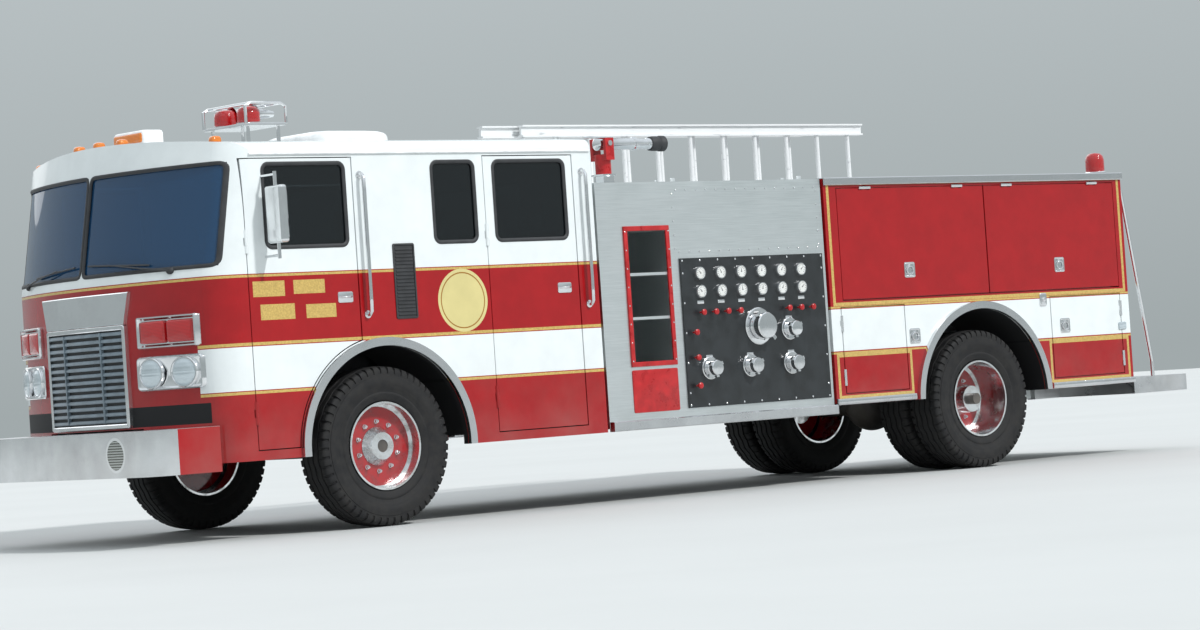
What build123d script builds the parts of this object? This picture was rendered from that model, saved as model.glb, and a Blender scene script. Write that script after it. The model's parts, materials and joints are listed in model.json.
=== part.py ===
from build123d import *
import os
from math import cos, radians, sin, sqrt

os.makedirs("parts", exist_ok=True)

# Fire engine: a custom cab pumper. Millimetres, +X forward, +Y to the left, +Z up,
# origin on the ground at the middle of the overall length and width.

# Chassis and wheels
FRONT_AXLE_X = 3150
WHEELBASE = 5750
REAR_AXLE_X = FRONT_AXLE_X - WHEELBASE
TYRE_R = 530
TYRE_WIDTH = 290
TYRE_FACE_Y = 1200
RIM_R = 292
DUAL_SPACING = 330
RAIL_OUTER_Y = 430
RAIL_WIDTH = 80
RAIL_Z = (650, 900)
RAIL_WALL = 12
RUNNING = 0.05
PAD_T = 10
PAD_R = 38
BEARER = 60

# Steering
KINGPIN_Y = 850
KINGPIN_R = 24
BOSS_R = 50
BOSS_HALF = 75
YOKE_GAP = 5
SPINDLE_R = 42

# Cab
HALF_WIDTH = 1230
CAB_FRONT = FRONT_AXLE_X + 1250
CAB_REAR = FRONT_AXLE_X - 1900
CAB_BOTTOM = 500
EAVE_Z = 2540
CROWN_Z = 2620
EAVE_R = 70
BELT_Z = 1700
SCREEN_RAKE = 150
CORNER_R = 140
CAB_WALL = 50
FLOOR_Z = 950
FLOOR_T = 40
FRONT_ARCH_R = 660
REAR_ARCH_R = 690
ARCH_TRIM_W = 55
ARCH_TRIM_OUT = 30
LINER_T = 20
LINER_INNER_Y = 560

# Cab doors and windows, as (rear x, front x) and (low z, high z)
DOOR_Z = (560, 2440)
WINDOW_Z = (1860, 2400)
SCREEN_Z = (1760, 2420)
FRONT_DOOR_X = (FRONT_AXLE_X + 170, FRONT_AXLE_X + 1055)
FRONT_WINDOW_X = (FRONT_AXLE_X + 240, FRONT_AXLE_X + 890)
CREW_DOOR_X = (FRONT_AXLE_X - 1730, FRONT_AXLE_X - 930)
CREW_WINDOW_X = (FRONT_AXLE_X - 1650, FRONT_AXLE_X - 1020)
MID_WINDOW_X = (FRONT_AXLE_X - 850, FRONT_AXLE_X - 490)
HINGE_GAP = 6
LATCH_GAP = 9
SILL_GAP = 7
SEAL_GAP = 6
GLASS_T = 6
GLASS_INSET = 12
HINGE_R = 12
HINGE_PIN_R = 6
HINGE_CLEAR = 5
HINGE_END = 0.3
CAB_HINGE_Z = (800, 1900)
CAB_HINGE_LENGTH = 150
STEP_INNER_Y = 800
STEP_T = 30
RAIL_WAY = 560
GRILLE_HALF = 470
GRILLE_Z = (760, 1430)

# Pump module
MODULE_X = (FRONT_AXLE_X - 4130, CAB_REAR - 30)
MODULE_Z = (520, 2240)
MODULE_WALL = 30
TRAY_X = (FRONT_AXLE_X - 2560, FRONT_AXLE_X - 2200)
TRAY_Z = (975, 1895)
PANEL_X = (FRONT_AXLE_X - 4095, FRONT_AXLE_X - 2680)
PANEL_Z = (625, 1690)
PANEL_T = 12

# Body
BODY_X = (FRONT_AXLE_X - 7500, MODULE_X[0] - 20)
BODY_Z = (560, 2240)
BODY_WALL = 30
BAY_INNER_Y = 610
UPPER_DOOR_Z = (1330, 2170)
LOWER_DOOR_Z = (640, 1285)
UPPER_SPLIT_X = FRONT_AXLE_X - 5880
UPPER_X = (FRONT_AXLE_X - 7400, FRONT_AXLE_X - 4280)
LOWER_FRONT_X = (FRONT_AXLE_X - 4930, FRONT_AXLE_X - 4250)
LOWER_REAR_X = (FRONT_AXLE_X - 7400, FRONT_AXLE_X - 6560)
DOOR_T = 40
DOOR_LAP = 35
HOSEBED_HALF = 570
HOSEBED_FLOOR_Z = 1500
BEARERS_X = (BODY_X[0] + 450, BODY_X[1] - 200)

# Ends
BUMPER_X = (CAB_FRONT + 80, 5000)
BUMPER_Z = (450, 740)
BUMPER_HALF = 1210
TAIL_X = -5000
TAIL_Z = (470, 600)


def block(x, y, z):
    size = (x[1] - x[0], y[1] - y[0], z[1] - z[0])
    middle = ((x[0] + x[1]) / 2, (y[0] + y[1]) / 2, (z[0] + z[1]) / 2)
    return Pos(*middle) * Box(*size)


def mirrored(shape):
    return mirror(shape, about=Plane.XZ)


def pair(shape):
    return [shape, mirrored(shape)]


def rod_x(x, y, z, r):
    return Pos((x[0] + x[1]) / 2, y, z) * Rot(0, 90, 0) * Cylinder(r, x[1] - x[0])


def rod_y(x, y, z, r):
    return Pos(x, (y[0] + y[1]) / 2, z) * Rot(90, 0, 0) * Cylinder(r, y[1] - y[0])


def rod_z(x, y, z, r):
    return Pos(x, y, (z[0] + z[1]) / 2) * Cylinder(r, z[1] - z[0])


def tube(points, r, bend):
    path = FilletPolyline(*points, radius=bend)
    return sweep(Plane(path @ 0, z_dir=path % 0) * Circle(r), path=path)


def spun(profile, x, y, z):
    # profile is (distance outward along Y, radius) points, turned about the wheel's axle line
    face = make_face(Polyline(*[(r, d) for d, r in profile], close=True))
    ring = revolve(Plane.XZ * face, axis=Axis.Z)
    return Pos(x, y, z) * Rot(-90, 0, 0) * ring


# A knuckle hinge on a line: two fixed end knuckles with their pin, a moving knuckle between them
def knuckles(place, length):
    third = length / 3
    ends = [Pos(0, 0, s * third) * Cylinder(HINGE_R, third - HINGE_END) for s in (-1, 1)]
    fixed = ends[0] + ends[1] + Cylinder(HINGE_PIN_R, length - third)
    moving = Cylinder(HINGE_R, third - HINGE_END) - Cylinder(HINGE_PIN_R + RUNNING, length)
    room = HINGE_R + HINGE_CLEAR
    fixed_room = Cylinder(room, third + HINGE_END)
    moving_room = [Pos(0, 0, s * third) * Cylinder(room, third + HINGE_END) for s in (-1, 1)]
    return [place * shape for shape in (fixed, fixed_room, moving, moving_room[0] + moving_room[1])]


def hang(carrier, leaf, places, length):
    for place in places:
        fixed, fixed_room, moving, moving_room = knuckles(place, length)
        carrier = carrier - fixed_room + fixed
        leaf = leaf - moving_room - place * Cylinder(HINGE_PIN_R + HINGE_CLEAR, length) + moving
    return carrier, leaf


def save(node, *shapes):
    solids = [solid for shape in shapes for solid in shape.solids()]
    export_step(Compound(children=solids), f"parts/{node}.step")


# The cab's outside form, inset evenly: side view crossed with the arched section, corners rounded
def cab_form(inset):
    low = CAB_BOTTOM - (10 if inset else 0)
    front, rear = CAB_FRONT - inset, CAB_REAR + inset
    half, eave, crown = HALF_WIDTH - inset, EAVE_Z - inset, CROWN_Z - inset
    lean = front - SCREEN_RAKE * (CROWN_Z - BELT_Z) / (EAVE_Z - BELT_Z)
    side = make_face(Polyline((rear, low), (front, low), (front, BELT_Z), (lean, CROWN_Z),
                              (rear, CROWN_Z), close=True))
    form = extrude(Plane.XZ * side, half, both=True)
    corners = [e for e in form.edges() if e.center().X > lean + 1 and abs(e.center().Y) > half - 1
               and e.center().Z > low + 1 and e.center().Z < CROWN_Z - 1]
    form = fillet(corners, CORNER_R - inset)
    section = make_face(Curve() + [Line((-half, low), (half, low)), Line((half, low), (half, eave)),
                                   ThreePointArc((half, eave), (0, crown), (-half, eave)),
                                   Line((-half, eave), (-half, low))])
    section = fillet([v for v in section.vertices() if v.Y > eave - 1], EAVE_R - inset / 2)
    return form & Pos((front + rear) / 2, 0, 0) * extrude(Plane.YZ * section, front - rear, both=True)


outside = cab_form(0)
skin = outside - cab_form(CAB_WALL)
glass_skin = cab_form(GLASS_INSET) - cab_form(GLASS_INSET + GLASS_T)
far = HALF_WIDTH + 100
arch_zone = rod_y(FRONT_AXLE_X, (-far, far), TYRE_R, FRONT_ARCH_R + ARCH_TRIM_W + 5)


def door_region(x, gaps, z_gap, trim_gap, depth=0):
    rear_gap, front_gap = gaps
    region = block((x[0] + rear_gap, x[1] - front_gap), (HALF_WIDTH - CAB_WALL - depth, far),
                   (DOOR_Z[0] + z_gap, DOOR_Z[1] - z_gap))
    keep_off = FRONT_ARCH_R + ARCH_TRIM_W + 5 + trim_gap
    return region - rod_y(FRONT_AXLE_X, (0, far), TYRE_R, keep_off)


def window(x, z=WINDOW_Z, r=45):
    hole = block(x, (HALF_WIDTH - 200, far), z)
    return fillet(hole.edges().filter_by(Axis.Y), r)


# Cab shell
liner = rod_y(FRONT_AXLE_X, (LINER_INNER_Y, HALF_WIDTH - CAB_WALL), TYRE_R, FRONT_ARCH_R + 40 + LINER_T)
liner_hole = rod_y(FRONT_AXLE_X, (LINER_INNER_Y + LINER_T, far), TYRE_R, FRONT_ARCH_R + 40)
above_axle = block((CAB_REAR + CAB_WALL, CAB_FRONT - CAB_WALL), (0, far), (CAB_BOTTOM + 60, CROWN_Z))
liner = (liner & above_axle) - liner_hole
floor = block((CAB_REAR + CAB_WALL, CAB_FRONT - CAB_WALL), (-HALF_WIDTH + CAB_WALL, HALF_WIDTH - CAB_WALL),
              (FLOOR_Z - FLOOR_T, FLOOR_Z))
floor = floor & cab_form(CAB_WALL)
WELLS = [(FRONT_AXLE_X + 760, FRONT_DOOR_X[1] - 20), (CREW_DOOR_X[0] + 20, CREW_DOOR_X[1] - 20)]
cab = skin + floor
ENGINE_HALF = 400
ENGINE_X = (CAB_REAR + 700, CAB_FRONT - 500)
cab -= block(ENGINE_X, (-ENGINE_HALF, ENGINE_HALF), (FLOOR_Z - 100, FLOOR_Z + 10))
for sign in (1, -1):
    side_cut = rod_y(FRONT_AXLE_X, (LINER_INNER_Y, far), TYRE_R, FRONT_ARCH_R + 40)
    wall_cut = rod_y(FRONT_AXLE_X, (HALF_WIDTH - CAB_WALL - 1, far), TYRE_R, FRONT_ARCH_R)
    floor_zone = block((CAB_REAR, CAB_FRONT), (LINER_INNER_Y, HALF_WIDTH - CAB_WALL), (0, CROWN_Z))
    cut = (side_cut & floor_zone) + wall_cut
    add = liner
    for well in WELLS:
        inner = block(well, (STEP_INNER_Y, HALF_WIDTH - CAB_WALL), (DOOR_Z[0] + STEP_T, FLOOR_Z + 1))
        box_out = block((well[0] - STEP_T, well[1] + STEP_T), (STEP_INNER_Y - STEP_T, HALF_WIDTH - CAB_WALL + 1),
                        (DOOR_Z[0], FLOOR_Z))
        add = add + (box_out - rod_y(FRONT_AXLE_X, (0, far), TYRE_R, FRONT_ARCH_R + 45))
        cut = cut + inner
    doors = door_region(FRONT_DOOR_X, (0, 0), 0, 0, SEAL_GAP) + door_region(CREW_DOOR_X, (0, 0), 0, 0, SEAL_GAP)
    cut = cut + doors + window(MID_WINDOW_X)
    if sign < 0:
        cut, add = mirrored(cut), mirrored(add)
    cab = (cab + add) - cut
SCREEN_HALF = HALF_WIDTH - 55
SCREEN_POST = 30
screen_hole = block((CAB_FRONT - 400, CAB_FRONT + 50), (SCREEN_POST / 2, SCREEN_HALF), SCREEN_Z)
screen_hole = screen_hole - block((CAB_FRONT - 500, CAB_FRONT - 230), (0, far), SCREEN_Z)
screen_cut = screen_hole + mirrored(screen_hole)
REAR_WINDOW_Z = (1900, 2300)
rear_window = block((CAB_REAR - 10, CAB_REAR + CAB_WALL + 10), (-500, 500), REAR_WINDOW_Z)
rail_way = block((CAB_REAR - 10, CAB_REAR + CAB_WALL + 10), (-RAIL_WAY, RAIL_WAY), (CAB_BOTTOM - 20, RAIL_Z[1] + PAD_T))
nose_way = block((CAB_FRONT - CAB_WALL - 40, CAB_FRONT + 10), (-RAIL_WAY, RAIL_WAY), (CAB_BOTTOM - 20, GRILLE_Z[0] - 10))
cab = cab - screen_cut - rear_window - rail_way - nose_way

mid_glass = window(MID_WINDOW_X) & glass_skin
save("cab_glass", *pair(screen_hole & glass_skin), *pair(mid_glass), rear_window & glass_skin)

# Cab doors: each the same skin, cut to its region, with its window
for name, span, pane in (("front", FRONT_DOOR_X, FRONT_WINDOW_X), ("crew", CREW_DOOR_X, CREW_WINDOW_X)):
    hole = window(pane)
    door = (skin & door_region(span, (LATCH_GAP, HINGE_GAP), SILL_GAP, 8)) - hole
    glass = glass_skin & hole
    for side, sign, turn in (("left", 1, lambda s: s), ("right", -1, mirrored)):
        places = [Pos(span[1] - HINGE_GAP / 2, sign * HALF_WIDTH, z) for z in CAB_HINGE_Z]
        cab, hung = hang(cab, turn(door), places, CAB_HINGE_LENGTH)
        save(f"door_{name}_{side}", hung)
        save(f"glass_{name}_{side}", turn(glass))
save("cab_shell", cab)

# Mirrors, on the front doors
MIRROR_X = FRONT_AXLE_X + 900
arm_top = rod_y(MIRROR_X, (HALF_WIDTH, HALF_WIDTH + 150), 2320, 9)
arm_low = rod_y(MIRROR_X, (HALF_WIDTH, HALF_WIDTH + 150), 1800, 9)
head = fillet(block((MIRROR_X - 30, MIRROR_X + 30), (HALF_WIDTH + 60, HALF_WIDTH + 240), (1880, 2250)).edges(), 20)
post = rod_z(MIRROR_X, HALF_WIDTH + 150, (1780, 2340), 12)
mirror_unit = head + post + arm_top + arm_low
for side, turn in (("left", lambda s: s), ("right", mirrored)):
    save(f"mirror_{side}", turn(mirror_unit))

# Arch trims
trims = []
for x, r in ((FRONT_AXLE_X, FRONT_ARCH_R), (REAR_AXLE_X, REAR_ARCH_R)):
    low = CAB_BOTTOM if x > 0 else BODY_Z[0]
    ring = rod_y(x, (HALF_WIDTH, HALF_WIDTH + ARCH_TRIM_OUT), TYRE_R, r + ARCH_TRIM_W)
    ring -= rod_y(x, (HALF_WIDTH - 1, far), TYRE_R, r)
    ring = ring & block((x - 900, x + 900), (0, far), (low, 2000))
    trims += pair(ring)
save("arch_trims", *trims)

# Grille and lamps on the front
frame_bar = 30
grille = block((CAB_FRONT, CAB_FRONT + 30), (-GRILLE_HALF, GRILLE_HALF), GRILLE_Z)
grille -= block((CAB_FRONT + 8, CAB_FRONT + 40), (-GRILLE_HALF + frame_bar, GRILLE_HALF - frame_bar),
                (GRILLE_Z[0] + frame_bar, GRILLE_Z[1] - frame_bar))
SLAT_COUNT = 14
slat_pitch = (GRILLE_Z[1] - GRILLE_Z[0] - 2 * frame_bar) / SLAT_COUNT
for i in range(SLAT_COUNT):
    z = GRILLE_Z[0] + frame_bar + (i + 0.5) * slat_pitch
    grille += block((CAB_FRONT + 7, CAB_FRONT + 25), (-GRILLE_HALF + 10, GRILLE_HALF - 10), (z - 8, z + 8))
header = make_face(Polyline((-GRILLE_HALF - 50, 1640), (GRILLE_HALF + 50, 1640),
                            (GRILLE_HALF, GRILLE_Z[1]), (-GRILLE_HALF, GRILLE_Z[1]), close=True))
header = Pos(CAB_FRONT, 0, 0) * extrude(Plane.YZ * header, 22)
lamps = []
bezel = block((CAB_FRONT, CAB_FRONT + 25), (560, 1080), (990, 1210))
for y in (690, 950):
    bezel -= Pos(CAB_FRONT + 20, y, 1100) * Rot(0, 90, 0) * Cylinder(88, 60)
    lens = Pos(CAB_FRONT + 15, y, 1100) * Rot(0, 90, 0) * Cylinder(86, 30)
    lamps.append(lens)
save("grille", grille + header, *pair(bezel))
save("headlamps", *[s for lens in lamps for s in pair(lens)])
warnings = pair(block((CAB_FRONT, CAB_FRONT + 40), (590, 1060), (1260, 1470)))

# Roof lights: markers, corner beacon bars and the middle box
markers = []
for y in (-1050, -260, 0, 260, 1050):
    x = CAB_FRONT - SCREEN_RAKE - 60
    markers.append(block((x - 35, x + 35), (y - 30, y + 30), (CROWN_Z - 60, CROWN_Z + 35)) - outside)
save("marker_lamps", *markers)
bar = block((CAB_FRONT - 720, CAB_FRONT - 360), (560, 1080), (CROWN_Z - 80, CROWN_Z + 200)) - outside
warnings.append(bar)
box_light = block((CAB_FRONT - 460, CAB_FRONT - 280), (-190, 190), (CROWN_Z - 30, CROWN_Z + 110)) - outside
dome = block((CAB_REAR + 1000, CAB_REAR + 1700), (-350, 350), (CROWN_Z - 40, CROWN_Z + 90)) - outside
save("roof_units", box_light, dome)

# Inside the cab
cover = block((ENGINE_X[0] - 20, ENGINE_X[1] + 20), (-ENGINE_HALF - 20, ENGINE_HALF + 20), (FLOOR_Z, FLOOR_Z + 500))
cover -= block(ENGINE_X, (-ENGINE_HALF, ENGINE_HALF), (FLOOR_Z - 1, FLOOR_Z + 470))
save("engine_cover", cover)
seats = []
for x, y in ((FRONT_AXLE_X + 150, 800), (FRONT_AXLE_X - 1450, 800)):
    base = block((x - 230, x + 230), (y - 240, y + 240), (FLOOR_Z + 330, FLOOR_Z + 480))
    back = block((x - 330, x - 190), (y - 240, y + 240), (FLOOR_Z + 330, FLOOR_Z + 1100))
    foot = block((x - 180, x + 180), (y - 180, y + 180), (FLOOR_Z if y and x < FRONT_AXLE_X - 1000 else 1250, FLOOR_Z + 331))
    seats += pair(base + back + foot)
save("cab_seats", *seats)
dash = block((CAB_FRONT - CAB_WALL - 330, CAB_FRONT - CAB_WALL), (-1100, 1100), (1300, 1640)) & cab_form(CAB_WALL)
COLUMN_X = CAB_FRONT - CAB_WALL - 330
wheel = Pos(COLUMN_X - 150, 800, 1620) * Rot(0, -35, 0) * (Torus(220, 14) + Cylinder(45, 40)
                                                      + Box(440, 30, 12) + Box(30, 440, 12))
column = Pos(COLUMN_X - 150, 800, 1620) * Rot(0, -35, 0) * Pos(0, 0, -150) * Cylinder(28, 300)
save("dashboard", dash + wheel + column)

# Frame, axles, springs and power train
RAIL_X = (BODY_X[0] + BODY_WALL + 5, CAB_FRONT - CAB_WALL - 10)
NOSE_Z = (520, 740)
nose = block((RAIL_X[1] - 300, BUMPER_X[0]), (RAIL_OUTER_Y - RAIL_WIDTH, RAIL_OUTER_Y - RAIL_WIDTH + 30), NOSE_Z)
rail = block(RAIL_X, (RAIL_OUTER_Y - RAIL_WIDTH, RAIL_OUTER_Y), RAIL_Z)
rail -= block((RAIL_X[0] - 10, RAIL_X[1] + 10), (RAIL_OUTER_Y - RAIL_WIDTH - 1, RAIL_OUTER_Y - RAIL_WALL),
              (RAIL_Z[0] + RAIL_WALL, RAIL_Z[1] - RAIL_WALL))
rail += nose
frame = rail + mirrored(rail)
for x in (-4280, -3300, -1900, -1050, 700, 1600, 4260):
    frame += block((x - 40, x + 40), (-RAIL_OUTER_Y + RAIL_WALL, RAIL_OUTER_Y - RAIL_WALL), (RAIL_Z[0] + 2, RAIL_Z[0] + 50))
PADS_X = (CAB_FRONT - 500, CAB_REAR + CAB_WALL / 2, TRAY_X[0] - MODULE_WALL / 2, MODULE_X[0] + MODULE_WALL / 2, BEARERS_X[0], BEARERS_X[1])
for x in PADS_X:
    for y in (RAIL_OUTER_Y - RAIL_WIDTH / 2, -RAIL_OUTER_Y + RAIL_WIDTH / 2):
        frame += rod_z(x, y, (RAIL_Z[1] - 1, RAIL_Z[1] + PAD_T), PAD_R)
save("frame_rails", frame)

beam = block((FRONT_AXLE_X - 50, FRONT_AXLE_X + 50), (-KINGPIN_Y, KINGPIN_Y), (TYRE_R - 60, TYRE_R + 40))
beam -= block((FRONT_AXLE_X - 60, FRONT_AXLE_X - 15), (-KINGPIN_Y + 120, KINGPIN_Y - 120), (TYRE_R - 40, TYRE_R + 20))
beam -= block((FRONT_AXLE_X + 15, FRONT_AXLE_X + 60), (-KINGPIN_Y + 120, KINGPIN_Y - 120), (TYRE_R - 40, TYRE_R + 20))
for y in (KINGPIN_Y, -KINGPIN_Y):
    beam -= rod_z(FRONT_AXLE_X, y, (0, 1000), BOSS_R + 1)
    beam += rod_z(FRONT_AXLE_X, y, (TYRE_R - BOSS_HALF, TYRE_R + BOSS_HALF), BOSS_R + 1)
    beam -= rod_z(FRONT_AXLE_X, y, (0, 1000), KINGPIN_R + RUNNING)
save("front_axle", beam)

yoke_out = BOSS_R + 1 + YOKE_GAP
arm_z = BOSS_HALF + YOKE_GAP
knuckle = block((FRONT_AXLE_X - 60, FRONT_AXLE_X + 60), (KINGPIN_Y + yoke_out, KINGPIN_Y + yoke_out + 40),
                (TYRE_R - arm_z - 40, TYRE_R + arm_z + 40))
for z in ((TYRE_R - arm_z - 40, TYRE_R - arm_z), (TYRE_R + arm_z, TYRE_R + arm_z + 40)):
    knuckle += rod_z(FRONT_AXLE_X, KINGPIN_Y, z, BOSS_R)
    knuckle += block((FRONT_AXLE_X - 50, FRONT_AXLE_X + 50), (KINGPIN_Y, KINGPIN_Y + yoke_out + 1), z)
knuckle += rod_z(FRONT_AXLE_X, KINGPIN_Y, (TYRE_R - arm_z - 40, TYRE_R + arm_z + 40), KINGPIN_R)
SPINDLE_END = TYRE_FACE_Y - 60
knuckle += rod_y(FRONT_AXLE_X, (KINGPIN_Y + yoke_out + 1, SPINDLE_END), TYRE_R, SPINDLE_R)
save("knuckle_left", knuckle)
save("knuckle_right", mirrored(knuckle))

TRACK_INNER = TYRE_FACE_Y - DUAL_SPACING - TYRE_WIDTH
rear_axle = rod_y(REAR_AXLE_X, (-SPINDLE_END, SPINDLE_END), TYRE_R, SPINDLE_R)
rear_axle += rod_y(REAR_AXLE_X, (-TRACK_INNER + 20, TRACK_INNER - 20), TYRE_R, 85)
rear_axle += Pos(REAR_AXLE_X, 0, TYRE_R) * Sphere(210)
PUMP_X = (-300, 500)
rear_axle += rod_x((REAR_AXLE_X + 200, PUMP_X[0]), 0, TYRE_R + 60, 45)
save("rear_axle", rear_axle)

springs = []
for x, length, seat in ((FRONT_AXLE_X, 1300, 40), (REAR_AXLE_X, 1500, 85)):
    low = TYRE_R + seat
    y = (RAIL_OUTER_Y - RAIL_WIDTH, RAIL_OUTER_Y)
    leaf = block((x - length / 2, x + length / 2), y, (low, low + 24))
    leaf += block((x - length / 2.6, x + length / 2.6), y, (low - 0, low + 24))
    for end in (-1, 1):
        eye = x + end * (length / 2 - 30)
        leaf += block((eye - 30, eye + 30), y, (low, RAIL_Z[0]))
    springs += pair(leaf)
save("leaf_springs", *springs)

engine = block((ENGINE_X[0] + 60, ENGINE_X[1] - 60), (-300, 300), (RAIL_Z[0] + 20, FLOOR_Z + 380))
RAIL_GAP = RAIL_OUTER_Y - RAIL_WIDTH
engine += block((ENGINE_X[0] + 900, ENGINE_X[0] + 1000), (-RAIL_GAP, RAIL_GAP), (RAIL_Z[0], RAIL_Z[0] + 60))
save("engine_block", engine)
pump = block(PUMP_X, (-320, 320), (560, 1150)) + rod_x((PUMP_X[1], ENGINE_X[0] + 60), 0, RAIL_Z[0] + 110, 45)
pump += block((PUMP_X[0] + 350, PUMP_X[0] + 450), (-RAIL_GAP, RAIL_GAP), (RAIL_Z[0], RAIL_Z[0] + 60))
save("pump_block", pump)
save("fuel_tank", block((-4000, -3400), (-RAIL_OUTER_Y, RAIL_OUTER_Y), (480, RAIL_Z[0])))

# Pump module: a box with its hose trays open from side to side
module = block(MODULE_X, (-HALF_WIDTH + 10, HALF_WIDTH - 10), MODULE_Z)
module -= block((MODULE_X[0] + MODULE_WALL, TRAY_X[0] - MODULE_WALL), (-HALF_WIDTH + 60, HALF_WIDTH - 60),
                (MODULE_Z[0] - 1, MODULE_Z[1] - MODULE_WALL))
module -= block((TRAY_X[1] + MODULE_WALL, MODULE_X[1] - MODULE_WALL), (-HALF_WIDTH + 60, HALF_WIDTH - 60),
                (MODULE_Z[0] - 1, MODULE_Z[1] - MODULE_WALL))
module -= block(TRAY_X, (-far, far), TRAY_Z)
module -= block((MODULE_X[0] - 1, MODULE_X[1] + 1), (-RAIL_WAY, RAIL_WAY), (MODULE_Z[0] - 1, RAIL_Z[1] + PAD_T))
module -= block((TRAY_X[0] - MODULE_WALL - 1, TRAY_X[1] + MODULE_WALL + 1), (-HALF_WIDTH + 60, HALF_WIDTH - 60),
                (MODULE_Z[0] - 1, TRAY_Z[0] - MODULE_WALL))
for shelf in (1280, 1590):
    module += block(TRAY_X, (-HALF_WIDTH + 10, HALF_WIDTH - 10), (shelf - 10, shelf + 10))
save("pump_module", module)

DISCHARGES = ((-560, 1150), (-560, 900), (-150, 900), (250, 900))
panel = block(PANEL_X, (HALF_WIDTH - 10, HALF_WIDTH - 10 + PANEL_T), PANEL_Z)
save("pump_panels", *pair(panel))
fittings = []
for x, z in DISCHARGES:
    fittings += pair(rod_y(x, (HALF_WIDTH - 10 + PANEL_T, HALF_WIDTH + 90), z, 55))
intake = rod_y(-250, (HALF_WIDTH - 10 + PANEL_T, HALF_WIDTH + 110), 1180, 95)
fittings += pair(intake)
for z in (1580, 1450):
    for x in (-700, -500, -300, -100, 100, 300):
        fittings += pair(rod_y(x, (HALF_WIDTH - 10 + PANEL_T, HALF_WIDTH + 22), z, 48))

# Body shell: bays both sides, hose bed between them
body = block(BODY_X, (-HALF_WIDTH, HALF_WIDTH), BODY_Z)
body -= block((BODY_X[0] - 10, BODY_X[1] - BODY_WALL), (-HOSEBED_HALF, HOSEBED_HALF), (HOSEBED_FLOOR_Z, BODY_Z[1] + 10))
body -= block((BODY_X[0] + BODY_WALL, BODY_X[1] + 10), (-HOSEBED_HALF, HOSEBED_HALF),
              (BODY_Z[0] - 10, HOSEBED_FLOOR_Z - 40))


def bay(x, z):
    rebate = block(x, (HALF_WIDTH - DOOR_T - 2, far), z)
    inside = block((x[0] + DOOR_LAP, x[1] - DOOR_LAP), (BAY_INNER_Y, far), (z[0] + DOOR_LAP, z[1] - DOOR_LAP))
    return rebate, inside


BAYS = {
    "upper_front": ((UPPER_SPLIT_X, UPPER_X[1]), UPPER_DOOR_Z),
    "upper_rear": ((UPPER_X[0], UPPER_SPLIT_X), UPPER_DOOR_Z),
    "lower_front": (LOWER_FRONT_X, LOWER_DOOR_Z),
    "lower_rear": (LOWER_REAR_X, LOWER_DOOR_Z),
}
for x, z in BAYS.values():
    for cut in bay(x, z):
        body -= cut
        body -= mirrored(cut)
well = rod_y(REAR_AXLE_X, (HOSEBED_HALF - 1, far), TYRE_R, REAR_ARCH_R)
body = body - well - mirrored(well)
for x in BEARERS_X:
    body += block((x - BEARER / 2, x + BEARER / 2), (-HOSEBED_HALF - 1, HOSEBED_HALF + 1),
                  (RAIL_Z[1] + PAD_T, RAIL_Z[1] + PAD_T + BEARER))

for name, (x, z) in BAYS.items():
    upper = name.startswith("upper")
    ends = (HINGE_GAP, HINGE_GAP) if upper else (LATCH_GAP, LATCH_GAP)
    tops = (LATCH_GAP, HINGE_GAP) if upper else (SILL_GAP, SILL_GAP)
    door = block((x[0] + ends[0], x[1] - ends[1]), (HALF_WIDTH - DOOR_T, HALF_WIDTH), (z[0] + tops[0], z[1] - tops[1]))
    for side, sign in (("left", 1), ("right", -1)):
        y = sign * HALF_WIDTH
        if upper:
            places = [Pos((x[0] + x[1]) / 2 + shift, y, z[1] - HINGE_GAP / 2) * Rot(0, 90, 0) for shift in (-500, 500)]
        else:
            edge = x[1] - LATCH_GAP / 2 if name == "lower_front" else x[0] + LATCH_GAP / 2
            places = [Pos(edge, y, (z[0] + z[1]) / 2 + shift) for shift in (-200, 200)]
        body, hung = hang(body, door if sign > 0 else mirrored(door), places, 120)
        save(f"bay_{name}_{side}", hung)
side_zone = block((BODY_X[0] - 100, BODY_X[1] + 100), (HOSEBED_HALF, far), (0, CROWN_Z))
save("body_left", body & side_zone)
save("body_right", body & mirrored(side_zone))
save("body_middle", (body - side_zone) - mirrored(side_zone))

# Wheels
half = TYRE_WIDTH / 2
TYRE = [(-half + 20, RIM_R), (-half, RIM_R + 60), (-half, TYRE_R - 60), (-half + 40, TYRE_R),
        (half - 40, TYRE_R), (half, TYRE_R - 60), (half, RIM_R + 60), (half - 20, RIM_R)]
RIM_T = 14
HUB_R = 130
bore = SPINDLE_R + RUNNING


def rim_profile(disc):
    return [(-half + 20, RIM_R), (-half + 20, RIM_R - RIM_T), (disc - 15, RIM_R - RIM_T), (disc - 15, HUB_R),
            (disc - 70, HUB_R), (disc - 70, bore), (disc + 60, bore), (disc + 60, HUB_R - 40), (disc, HUB_R),
            (disc, RIM_R - RIM_T), (half - 20, RIM_R - RIM_T), (half - 20, RIM_R)]


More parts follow.
